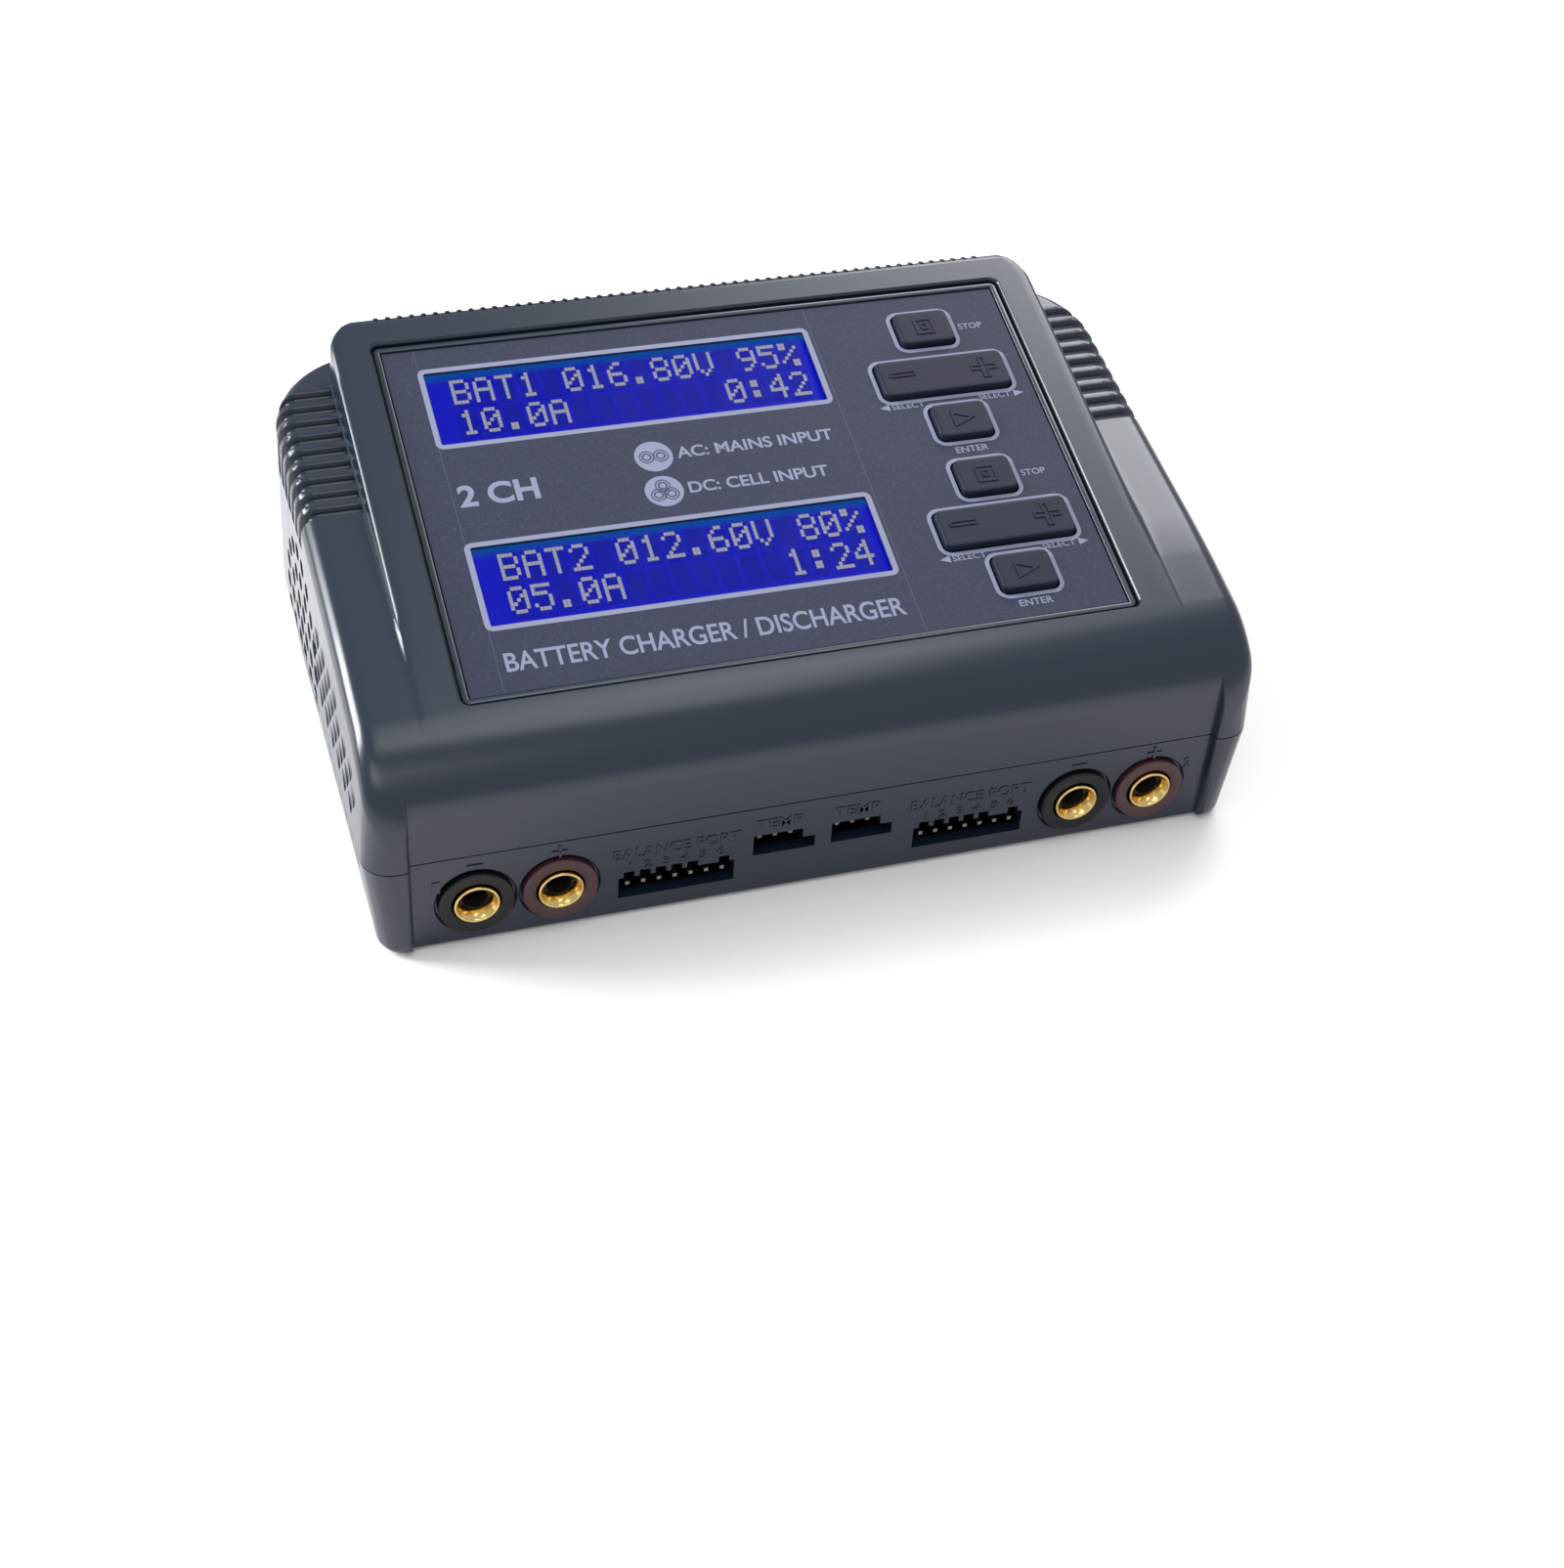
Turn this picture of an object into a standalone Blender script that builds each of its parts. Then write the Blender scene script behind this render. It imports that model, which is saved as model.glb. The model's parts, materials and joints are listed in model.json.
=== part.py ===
"""Balance battery charger: a two-channel desktop charger, built from its separate pieces.

Sizes here are in millimetres and the objects are made in metres. +X is right, +Y is rear and +Z is up.
The origin lies under the middle of the case, on the surface that its feet stand on.
"""

import math

import bmesh
import bpy
from mathutils import Matrix, Vector

MM = 0.001
GAP = 0.3  # clearance between neighbouring pieces
WALL = 2.0

# Case
DEPTH = 88.5
FRONT = -DEPTH / 2  # front of the two cheeks
FACE = FRONT + 1.5  # flat connector face between the cheeks
REAR_RIBS = DEPTH / 2
REAR = REAR_RIBS - 0.45
BASE = 0.8  # underside of the case, above the soles of the feet
PARTING = BASE + 16.7
BASE_HALF, MIDDLE_HALF, TOP_HALF = 69.4, 71.0, 70.2
FRONT_CORNER, REAR_CORNER, BASE_EDGE, TOP_EDGE = 4.5, 13.0, 1.2, 1.7
SHOULDER_EDGE = 3.0
CHEEK_INNER = 64.2

# Sloping top: a raised block that carries the label, over two lower shoulders
TILT = math.radians(15.1)
PANEL_Y, PANEL_Z = FACE + 45.7, BASE + 45.5
PLATEAU_HALF, PLATEAU_CORNER, PLATEAU_EDGE = 60.0, 6.5, 0.8
SHOULDER_TILT = math.radians(9.3)
SHOULDER_Y, SHOULDER_Z = FACE + 17.0, BASE + 38.0
NOSE_RADIUS = 16.2
NOSE_Y = FRONT + NOSE_RADIUS
NOSE_Z = (PANEL_Z + (NOSE_Y - NOSE_RADIUS * math.sin(TILT) - PANEL_Y) * math.tan(TILT)
          - NOSE_RADIUS * math.cos(TILT))
GROOVES, GROOVE_PITCH, GROOVE_WIDTH, GROOVE_DEPTH = 9, 3.25, 1.6, 0.8
LAST_GROOVE = FACE + 78.1
GROOVE_FOOT = BASE + 38.0
REAR_RIB_COUNT, REAR_RIB_PITCH, REAR_RIB_WIDTH = 54, 1.95, 0.9

# Label recess and what shows in it; heights are above the sloping top
RECESS_HALF_X, RECESS_HALF_W = 53.7, 35.9
LABEL_TOP, LABEL_UNDER, RECESS_FLOOR, TOP_INNER = -0.9, -1.3, -1.6, -3.4
LCD_X, LCD_WS = -14.7, (21.65, -14.4)
LCD_VIEW = (63.4, 15.1)
LCD_BEZEL = (71.2, 24.2)
LCD_BOARD = (80.0, 30.0)
KEY_X = 37.6
STOP_WS, ROCKER_WS, ENTER_WS = (26.55, -6.15), (16.0, -16.05), (5.85, -25.95)
KEY_SIZE, ROCKER_SIZE = (9.4, 7.1), (22.2, 7.6)
KEY_TOP = 0.3
KEY_PLAY = 0.35
ROCKER_PIVOT = -4.6
SWITCH_TOP, KEY_BOARD_TOP = -5.8, -9.6
ROCKER_REACH = 7.6  # from a rocker's pivot to each of its switches

# Connectors in the front face
OUTPUT_XS = (41.9, 54.7)
OUTPUT_Z = BASE + 7.56
BALANCE_XS, BALANCE_PINS, PIN_PITCH = (-23.7, 23.9), 7, 2.5
BALANCE_Z = BASE + 5.0
TEMP_XS, TEMP_PINS = (-7.55, 5.05), 3
TEMP_Z = BASE + 9.1
PIN_HALF = 0.32
SOCKET_BOARD_Y = FACE + 10.0

# Inlets in the right wall and the fan behind the left wall
INLET_FACE, INLET_Z = 70.2, BASE + 15.4
AC_Y, AC_SIZE = FACE + 50.0, (23.0, 17.0)
DC_Y, DC_SIZE = FACE + 27.0, (16.4, 8.6)
FAN_Y, FAN_Z, FAN_SIZE, FAN_DEPTH = FACE + 54.0, 22.0, 35.0, 10.0
FAN_OUTER = -67.2  # the side of the fan that faces the left wall
FAN_DUCT, FAN_TIP, FAN_HUB = 16.3, 15.6, 7.5
FAN_HOLE = 14.5  # fixing holes, from the axis

# Inside
BOARD = 1.6
MAIN_BOARD_Z = 4.0
MAIN_BOARD_X, MAIN_BOARD_Y = (-56.5, 59.0), (FACE + 14.0, FACE + 72.0)
ON_BOARD = MAIN_BOARD_Z + BOARD + GAP
BOARD_SCREWS = [(x, FACE + y) for x in (-52.0, 54.0) for y in (18.0, 68.0)]
CASE_SCREWS = [(side * x, FACE + y) for x, y in ((64.4, 12.0), (60.0, 77.5)) for side in (-1, 1)]
FEET = [(side * x, FACE + y) for x, y in ((55.5, 10.0), (50.0, 74.0)) for side in (-1, 1)]

PANEL = Matrix.Translation((0, PANEL_Y, PANEL_Z)) @ Matrix.Rotation(TILT, 4, "X")
AXES = {"X": ((1, 0, 0), (0, 1, 0), (0, 0, 1)), "Y": ((0, 1, 0), (0, 0, 1), (1, 0, 0)),
        "Z": ((0, 0, 1), (1, 0, 0), (0, 1, 0))}


class Shape:
    """Closed solids gathered in one mesh, in millimetres, each placed by the shape's own matrix."""

    def __init__(self, place=None):
        self.mesh = bmesh.new()
        self.place = place or Matrix()

    def add(self, points, faces):
        corners = [self.mesh.verts.new(self.place @ Vector(point)) for point in points]
        for face in faces:
            self.mesh.faces.new([corners[i] for i in face])
        return self

    def box(self, low, high):
        size = Vector(high) - Vector(low)
        middle = (Vector(high) + Vector(low)) / 2
        at = self.place @ Matrix.Translation(middle) @ Matrix.Diagonal((*size, 1))
        bmesh.ops.create_cube(self.mesh, size=1, matrix=at)
        return self

    def block(self, middle, size, low, high):
        """A box given by its middle and size across, and by its lowest and highest level."""
        (x, y), (wide, deep) = middle, size
        return self.box((x - wide / 2, y - deep / 2, low), (x + wide / 2, y + deep / 2, high))

    def prism(self, outline, axis, start, end):
        """An outline in the two directions across an axis, drawn out along it from start to end."""
        along, side, up = (Vector(direction) for direction in AXES[axis])
        ends = [[side * u + up * v + along * level for u, v in outline] for level in (start, end)]
        return self.lofted(ends, triangles=False)

    def lofted(self, sections, triangles=True):
        """A skin over sections of equally many points, closed by the first and the last of them."""
        count = len(sections[0])
        faces = [tuple(range(count)), tuple(range(count * (len(sections) - 1), count * len(sections)))]
        for start in range(0, count * (len(sections) - 1), count):
            for i in range(count):
                j = (i + 1) % count
                quad = (start + i, start + j, start + count + j, start + count + i)
                faces += [quad[:3], (quad[0], quad[2], quad[3])] if triangles else [quad]
        return self.add([point for section in sections for point in section], faces)

    def turned(self, profile, centre, axis="Y", steps=16, ring=False):
        """A profile of radii and distances turned about an axis; a ring's profile closes on itself."""
        along, side, up = (Vector(direction) for direction in AXES[axis])
        points, rings = [], []
        for radius, distance in profile:
            count = steps if radius else 1
            rings.append([len(points) + i % count for i in range(steps + 1)])
            for i in range(count):
                turn = 2 * math.pi * (i + 0.5) / steps
                spoke = side * math.cos(turn) + up * math.sin(turn)
                points.append(Vector(centre) + along * distance + spoke * radius)
        faces = []
        for near, far in zip(rings, rings[1:] + (rings[:1] if ring else [])):
            for i in range(steps):
                face = tuple(dict.fromkeys((near[i], near[i + 1], far[i + 1], far[i])))
                if len(face) > 2:
                    faces.append(face)
        return self.add(points, faces)

    def rod(self, radius, centre, start, end, axis="Y", steps=16):
        """A solid cylinder along an axis, from one distance to another."""
        return self.turned([(0, start), (radius, start), (radius, end), (0, end)], centre, axis, steps)

    def piece(self, name, finish, origin=(0, 0, 0)):
        """The shape as a named object with its own material and its origin where it is asked for."""
        bmesh.ops.recalc_face_normals(self.mesh, faces=self.mesh.faces)
        bmesh.ops.translate(self.mesh, verts=self.mesh.verts, vec=-Vector(origin))
        bmesh.ops.scale(self.mesh, verts=self.mesh.verts, vec=(MM, MM, MM))
        data = bpy.data.meshes.new(name)
        self.mesh.to_mesh(data)
        self.mesh.free()
        data.shade_smooth()
        data.set_sharp_from_angle(angle=math.radians(35))
        if finish:
            data.materials.append(material(name, *finish))
        made = bpy.data.objects.new(name, data)
        made.location = Vector(origin) * MM
        bpy.context.scene.collection.objects.link(made)
        return made


def material(name, colour, roughness, metallic=0.0):
    made = bpy.data.materials.new(name)
    made.use_nodes = True
    shader = made.node_tree.nodes["Principled BSDF"]
    shader.inputs["Base Color"].default_value = (*colour, 1)
    shader.inputs["Roughness"].default_value = roughness
    shader.inputs["Metallic"].default_value = metallic
    return made


CASE_ABS = ((0.045, 0.056, 0.072), 0.45)
KEY_ABS = ((0.035, 0.037, 0.05), 0.5)
LABEL_FILM = ((0.058, 0.056, 0.09), 0.5)
CLEAR_FILM = ((0.6, 0.65, 0.75), 0.1)
LCD_BLUE = ((0.0, 0.004, 0.5), 0.15)
STEEL = ((0.5, 0.5, 0.52), 0.3, 1.0)
BLACK_STEEL = ((0.02, 0.02, 0.022), 0.4, 1.0)
GOLD = ((0.83, 0.58, 0.2), 0.25, 1.0)
TIN = ((0.75, 0.75, 0.76), 0.25, 1.0)
BLACK_NYLON = ((0.012, 0.012, 0.014), 0.45)
RED_NYLON = ((0.12, 0.022, 0.028), 0.4)
GREEN_BOARD = ((0.01, 0.12, 0.05), 0.4)
RUBBER = ((0.02, 0.02, 0.02), 0.85)
FERRITE = ((0.04, 0.04, 0.045), 0.6)
YELLOW_TAPE = ((0.75, 0.55, 0.08), 0.5)
BLUE_SLEEVE = ((0.02, 0.05, 0.22), 0.35)
COPPER = ((0.75, 0.32, 0.14), 0.35, 1.0)
ALUMINIUM = ((0.7, 0.71, 0.72), 0.35, 1.0)
GLASS = ((0.7, 0.75, 0.75), 0.05)


def boolean(piece, shape, operation):
    """Cuts a shape out of a piece or joins it to it; the shape stays in the scene as a hidden tool."""
    tool = shape.piece(f"{piece.name}_tool_{len(piece.modifiers)}", None)
    tool.hide_render = True
    tool.display_type = "WIRE"
    modifier = piece.modifiers.new(operation.title(), "BOOLEAN")
    modifier.operation = operation
    modifier.solver = "EXACT"
    modifier.object = tool


def cut(piece, shape):
    boolean(piece, shape, "DIFFERENCE")


def join(piece, shape):
    boolean(piece, shape, "UNION")


# Case form


def fallback(distance, radius):
    """How far a rounded corner has drawn in at a distance from the end of its side."""
    if distance >= radius:
        return 0.0
    return radius - math.sqrt(radius**2 - (radius - distance) ** 2)


def top_height(y, sunk=0.0):
    """Height of the sloping top and its nose, or of a surface sunk below them."""
    radius = NOSE_RADIUS - sunk
    if y < NOSE_Y - radius * math.sin(TILT):
        return NOSE_Z + math.sqrt(radius**2 - (y - NOSE_Y) ** 2)
    return PANEL_Z + (y - PANEL_Y) * math.tan(TILT) - sunk / math.cos(TILT)


def shoulder_height(y):
    return SHOULDER_Z + (y - SHOULDER_Y) * math.tan(SHOULDER_TILT)


def ridge_start(wall=0.0, sunk=0.0):
    """Where the sloping top rises out of the shoulders, on the outside or on a surface inside it."""
    rise = SHOULDER_Z - wall - PANEL_Z + sunk / math.cos(TILT)
    steeper = math.tan(TILT) - math.tan(SHOULDER_TILT)
    return (rise + PANEL_Y * math.tan(TILT) - SHOULDER_Y * math.tan(SHOULDER_TILT)) / steeper


def half_width(y, half, wall=0.0):
    """Half of the case's width at y, where the side stands out to half."""
    rear = fallback(REAR - wall - y, REAR_CORNER - wall)
    return half - wall - rear - fallback(y - FRONT - wall, FRONT_CORNER - wall)


def section(y, front, rear, wall=0.0, sunk=0.0):
    """Outline of the case across Y: up its right side from the middle of the floor, then its mirror."""
    edge, base_edge = max(SHOULDER_EDGE - wall, 1.0), max(BASE_EDGE - wall, 0.2)
    low = BASE + wall + fallback(y - front, base_edge) + fallback(rear - y, base_edge)
    crown = top_height(y, sunk) - fallback(rear - y, TOP_EDGE)
    shoulder = min(shoulder_height(y) - wall, crown)
    block = PLATEAU_HALF - wall - fallback(rear - y, PLATEAU_CORNER - wall)
    bevel = min(PLATEAU_EDGE, (crown - shoulder) / 2)
    base, middle, top = (half_width(y, half, wall) for half in (BASE_HALF, MIDDLE_HALF, TOP_HALF))
    right = [(base - base_edge, low), (base, low + base_edge), (middle, PARTING)]
    for angle in (0, 30, 60, 90):
        turn = math.radians(angle)
        right.append((top - edge + edge * math.cos(turn), shoulder - edge + edge * math.sin(turn)))
    right += [(block + GAP, shoulder), (block, crown - bevel), (block - PLATEAU_EDGE, crown)]
    return [Vector((x, y, z)) for x, z in right] + [Vector((-x, y, z)) for x, z in reversed(right)]


def case_solid(front, rear, wall=0.0, sunk=0.0):
    """The case as a solid, or the hollow inside it."""
    from_front = [front + d for d in (0, 0.3, 1.2, 2.6, 4.5, 7.5, 11.0)]
    from_rear = [rear - d for d in (REAR_CORNER - wall, 8.5, 6.0, 3.6, TOP_EDGE, 0.8, 0.2, 0)]
    stations = from_front + [ridge_start(wall, sunk)] + from_rear
    return Shape().lofted([section(y, front, rear, wall, sunk) for y in stations])


def outer_solid():
    return case_solid(FRONT, REAR)


def hollow():
    return case_solid(FACE + WALL, REAR - WALL, WALL, -TOP_INNER)


def face_recess():
    """What the flat connector face lacks in front of it, between the cheeks."""
    outline = [(-CHEEK_INNER, -1), (CHEEK_INNER, -1), (CHEEK_INNER, 40), (-CHEEK_INNER, 40)]
    return Shape().prism([(z, x) for x, z in outline], "Y", FRONT - 5, FACE)


def inlet_windows():
    windows = Shape()
    for y, (wide, tall) in ((AC_Y, AC_SIZE), (DC_Y, DC_SIZE)):
        low = (INLET_FACE - 6, y - wide / 2 - GAP, INLET_Z - tall / 2 - GAP)
        windows.box(low, (INLET_FACE + 6, y + wide / 2 + GAP, INLET_Z + tall / 2 + GAP))
    return windows


# Shells


def groove_tools():
    """Slots that wrap from the raised block over each shoulder and down its side."""
    tools = Shape()
    for side in (-1, 1):
        for i in range(GROOVES):
            y = LAST_GROOVE - i * GROOVE_PITCH
            top, out = shoulder_height(y), half_width(y, TOP_HALF)
            inner = [(PLATEAU_HALF + 0.4, top - GROOVE_DEPTH)]
            edge = SHOULDER_EDGE - GROOVE_DEPTH / 2
            for angle in (90, 60, 30, 0):
                turn = math.radians(angle)
                inner.append((out - GROOVE_DEPTH - edge + edge * math.cos(turn),
                              top - GROOVE_DEPTH - edge + edge * math.sin(turn)))
            inner.append((out - GROOVE_DEPTH, GROOVE_FOOT + 1))
            outer = [(out + 2, GROOVE_FOOT - 1), (out + 2, top + 2), (PLATEAU_HALF + 0.4, top + 2)]
            outline = [(z, side * x) for x, z in inner + outer]
            tools.prism(outline, "Y", y - GROOVE_WIDTH / 2, y + GROOVE_WIDTH / 2)
    return tools


def rear_ribs():
    tools = Shape()
    for i in range(REAR_RIB_COUNT):
        x = (i - (REAR_RIB_COUNT - 1) / 2) * REAR_RIB_PITCH
        tools.box((x - REAR_RIB_WIDTH / 2, REAR - 1, PARTING + 1.5),
                  (x + REAR_RIB_WIDTH / 2, REAR_RIBS, top_height(REAR) - TOP_EDGE))
    return tools


def fan_grille():
    """Round holes in the left wall, in rings over the fan's duct."""
    tools = Shape()
    for ring, count in ((0, 1), (1, 6), (2, 12), (3, 18)):
        for i in range(count):
            turn = 2 * math.pi * i / count
            centre = (-73, FAN_Y + ring * 4.3 * math.cos(turn), FAN_Z + ring * 4.3 * math.sin(turn))
            tools.rod(1.5, centre, 0, 6, "X", 6)
    return tools


def exhaust_slots():
    tools = Shape()
    for i in range(11):
        y = FACE + 24 + i * 4.0
        tools.box((66, y - 0.9, BASE + 27.5), (74, y + 0.9, BASE + 34.5))
    return tools


def key_places():
    """Each key's middle along the slope, its size and its name."""
    for channel in (0, 1):
        yield f"stop_key_{channel + 1}", STOP_WS[channel], KEY_SIZE
        yield f"rocker_key_{channel + 1}", ROCKER_WS[channel], ROCKER_SIZE
        yield f"enter_key_{channel + 1}", ENTER_WS[channel], KEY_SIZE


def key_openings(low, high):
    tools = Shape(PANEL)
    for _, w, (wide, tall) in key_places():
        tools.block((KEY_X, w), (wide + 2 * KEY_PLAY, tall + 2 * KEY_PLAY), low, high)
    return tools


def rocker_lugs():
    """Lugs under the sloping top that carry the rocker keys' trunnions."""
    lugs, holes = Shape(PANEL), Shape(PANEL)
    for w in ROCKER_WS:
        for side in (-1, 1):
            middle = w + side * (ROCKER_SIZE[1] / 2 + 1.3)
            lugs.block((KEY_X, middle), (3.4, 0.8), ROCKER_PIVOT - 1.6, TOP_INNER + 0.5)
            holes.rod(0.95, (KEY_X, middle, ROCKER_PIVOT), -1.2, 1.2, "Y", 8)
    return lugs, holes


def upper_shell():
    shell = outer_solid().piece("upper_shell", CASE_ABS)
    cut(shell, Shape().box((-90, -60, -5), (90, 60, PARTING + GAP / 2)))
    cut(shell, face_recess())
    cut(shell, hollow())
    join(shell, rear_ribs())
    bosses, bores = Shape(), Shape()
    for x, y in CASE_SCREWS:
        ceiling = top_height(y, -TOP_INNER) if y < 0 else shoulder_height(y) - WALL
        bosses.rod(3.6, (x, y, 0), PARTING + GAP, ceiling + 1, "Z", 12)
        bores.rod(1.7, (x, y, 0), PARTING - 2, 31.5, "Z", 10)
    join(shell, bosses)
    cut(shell, bores)
    cut(shell, groove_tools())
    half_x, half_w = RECESS_HALF_X, RECESS_HALF_W
    cut(shell, Shape(PANEL).box((-half_x, -half_w, RECESS_FLOOR), (half_x, half_w, 5)))
    windows = Shape(PANEL)
    for w in LCD_WS:
        windows.block((LCD_X, w), (LCD_BEZEL[0] + 2 * GAP, LCD_BEZEL[1] + 2 * GAP), -12, 3)
    cut(shell, windows)
    cut(shell, key_openings(-6, 2))
    lugs, holes = rocker_lugs()
    join(shell, lugs)
    cut(shell, holes)
    cut(shell, fan_grille())
    cut(shell, exhaust_slots())
    cut(shell, inlet_windows())


def header_opening(x, pins, z, teeth):
    """Opening in the face for a pin header, with a tooth over each pin that has one."""
    half, low, high, tip = pins * PIN_PITCH / 2 + 0.4, z - 2.05, z + 2.05, z + 3.15
    outline = [(x - half, low), (x + half, low), (x + half, high)]
    for i in reversed(teeth):
        tooth = x + (i - (pins - 1) / 2) * PIN_PITCH
        outline += [(tooth + 0.85, high), (tooth + 0.85, tip), (tooth - 0.85, tip), (tooth - 0.85, high)]
    return outline + [(x - half, high)]


def front_openings():
    tools = Shape()
    for x in BALANCE_XS:
        outline = header_opening(x, BALANCE_PINS, BALANCE_Z, (0, 1, 2, 3, 4, 6))
        tools.prism([(z, u) for u, z in outline], "Y", FACE - 1, FACE + WALL + 1)
    for x in TEMP_XS:
        left, right, low = x - 4.05, x + 3.9, TEMP_Z - 2.0
        outline = [(left, low), (right + 2, low), (right + 2, low + 2.25), (right, low + 2.25),
                   (right, low + 4), (left, low + 4)]
        tools.prism([(z, u) for u, z in outline], "Y", FACE - 1, FACE + WALL + 1)
    for x in output_places():
        profile = [(0, -1), (6.1, -1), (6.1, 0.6), (4.6, 0.6), (4.6, WALL + 1), (0, WALL + 1)]
        tools.turned(profile, (x, FACE, OUTPUT_Z))
    return tools


def lower_shell():
    shell = outer_solid().piece("lower_shell", CASE_ABS)
    cut(shell, Shape().box((-90, -60, PARTING - GAP / 2), (90, 60, 80)))
    cut(shell, face_recess())
    cut(shell, hollow())
    posts, bores = Shape(), Shape()
    for x, y in CASE_SCREWS:
        posts.rod(4.2, (x, y, 0), BASE + WALL - 0.5, PARTING - GAP, "Z", 12)
        bore = [(0, -1), (2.9, -1), (2.9, 8), (1.7, 8), (1.7, PARTING + 1), (0, PARTING + 1)]
        bores.turned(bore, (x, y, 0), "Z", 12)
    for x, y in BOARD_SCREWS:
        posts.rod(3.0, (x, y, 0), BASE + WALL - 0.5, MAIN_BOARD_Z - GAP, "Z", 12)
        bores.rod(1.5, (x, y, 0), BASE + 1.0, MAIN_BOARD_Z + 1, "Z", 8)
    for x, y in FEET:
        bores.rod(5.3, (x, y, 0), -1, BASE + 0.7, "Z")
    for x in (-24.0, 24.0):
        for i in range(7):
            bores.block((x, FACE + 30 + i * 5.0), (26, 1.8), -1, BASE + WALL + 1)
    join(shell, posts)
    cut(shell, bores)
    cut(shell, front_openings())
    cut(shell, inlet_windows())


# Label, displays and keys


def label():
    plate = Shape(PANEL).box((-RECESS_HALF_X + GAP, -RECESS_HALF_W + GAP, LABEL_UNDER),
                             (RECESS_HALF_X - GAP, RECESS_HALF_W - GAP, LABEL_TOP))
    plate = plate.piece("label_plate", LABEL_FILM)
    windows = Shape(PANEL)
    for w in LCD_WS:
        windows.block((LCD_X, w), LCD_VIEW, -3, 1)
    cut(plate, windows)
    cut(plate, key_openings(-3, 1))


def display(channel):
    """A sixteen by two character module: a steel bezel round the glass, over a circuit board."""
    middle = (LCD_X, LCD_WS[channel - 1])
    (view_x, view_w), (bezel_x, bezel_w) = LCD_VIEW, LCD_BEZEL
    pane = Shape(PANEL).block(middle, (view_x - 2 * GAP, view_w - 2 * GAP), LABEL_UNDER, LABEL_TOP - 0.1)
    pane.piece(f"lcd_window_{channel}", CLEAR_FILM)
    bezel_top, glass_top, glass_under, board_top = RECESS_FLOOR, -2.3, -6.9, -7.3
    bezel = Shape(PANEL).block(middle, LCD_BEZEL, glass_under, bezel_top)
    bezel = bezel.piece(f"lcd_bezel_{channel}", BLACK_STEEL)
    inside = Shape(PANEL).block(middle, (bezel_x - 1.2, bezel_w - 1.2), glass_under - 1, glass_top + GAP)
    cut(bezel, inside)
    cut(bezel, Shape(PANEL).block(middle, (view_x + 1.1, view_w + 0.9), -4, 1))
    glass = Shape(PANEL).block(middle, (bezel_x - 1.8, bezel_w - 1.8), glass_under, glass_top)
    glass.piece(f"lcd_glass_{channel}", LCD_BLUE)
    board = Shape(PANEL).block((middle[0], middle[1] - 1), LCD_BOARD, board_top - BOARD, board_top)
    board.piece(f"lcd_board_{channel}", GREEN_BOARD)


def stem_places(name):
    """Where a key presses on its switches, along X from its middle."""
    return (-ROCKER_REACH, ROCKER_REACH) if name.startswith("rocker") else (0,)


def keys():
    for name, w, (wide, tall) in key_places():
        rocker = name.startswith("rocker")
        pivot = PANEL @ Vector((KEY_X, w, ROCKER_PIVOT))
        foot = -4.2 if rocker else TOP_INNER - GAP
        stem = Shape(PANEL).block((KEY_X, w), (wide, tall), foot - 0.5, KEY_TOP)
        key = stem.piece(name, KEY_ABS, pivot)
        collar = Shape(PANEL).block((KEY_X, w), (wide + 2.2, tall + 1.0), foot - 0.8, foot)
        join(key, collar)
        stems = Shape(PANEL)
        for x in stem_places(name):
            stems.rod(1.6, (KEY_X + x, w, 0), SWITCH_TOP + 0.5, foot - 0.4, "Z", 8)
        join(key, stems)
        if rocker:
            reach = tall / 2 + 1.6
            join(key, Shape(PANEL).rod(0.6, (KEY_X, w, ROCKER_PIVOT), -reach, reach, "Y", 8))


def key_switches():
    """The board under the keys, with a tact switch soldered on it below each stem."""
    board = Shape(PANEL).box((26.0, -31.0, KEY_BOARD_TOP - BOARD), (50.0, 31.0, KEY_BOARD_TOP))
    board = board.piece("key_board", GREEN_BOARD)
    switches = Shape(PANEL)
    for name, w, _ in key_places():
        for x in stem_places(name):
            switches.block((KEY_X + x, w), (6, 6), KEY_BOARD_TOP - 0.5, SWITCH_TOP)
    join(board, switches)


# Connectors


def output_places():
    return [side * x for x in OUTPUT_XS for side in (-1, 1)]


def output_sockets():
    """Four 4 mm output sockets, each a gold contact in a flanged sleeve."""
    for channel, side in ((1, -1), (2, 1)):
        for pole, x in (("minus", -max(OUTPUT_XS) if side < 0 else min(OUTPUT_XS)),
                        ("plus", -min(OUTPUT_XS) if side < 0 else max(OUTPUT_XS))):
            at = (x, FACE, OUTPUT_Z)
            flange = [(3.85, -0.8), (5.5, -0.8), (5.8, -0.5), (5.8, 0.3)]
            sleeve = flange + [(4.3, 0.3), (4.3, 8.5), (3.85, 8.5)]
            finish = BLACK_NYLON if pole == "minus" else RED_NYLON
            Shape().turned(sleeve, at, ring=True).piece(f"output_sleeve_{pole}_{channel}", finish)
            contact = [(2.0, 2.2), (3.05, -1.1), (3.5, -0.9), (3.5, 13.3), (2.0, 13.3)]
            Shape().turned(contact, at, ring=True).piece(f"output_contact_{pole}_{channel}", GOLD)


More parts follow.
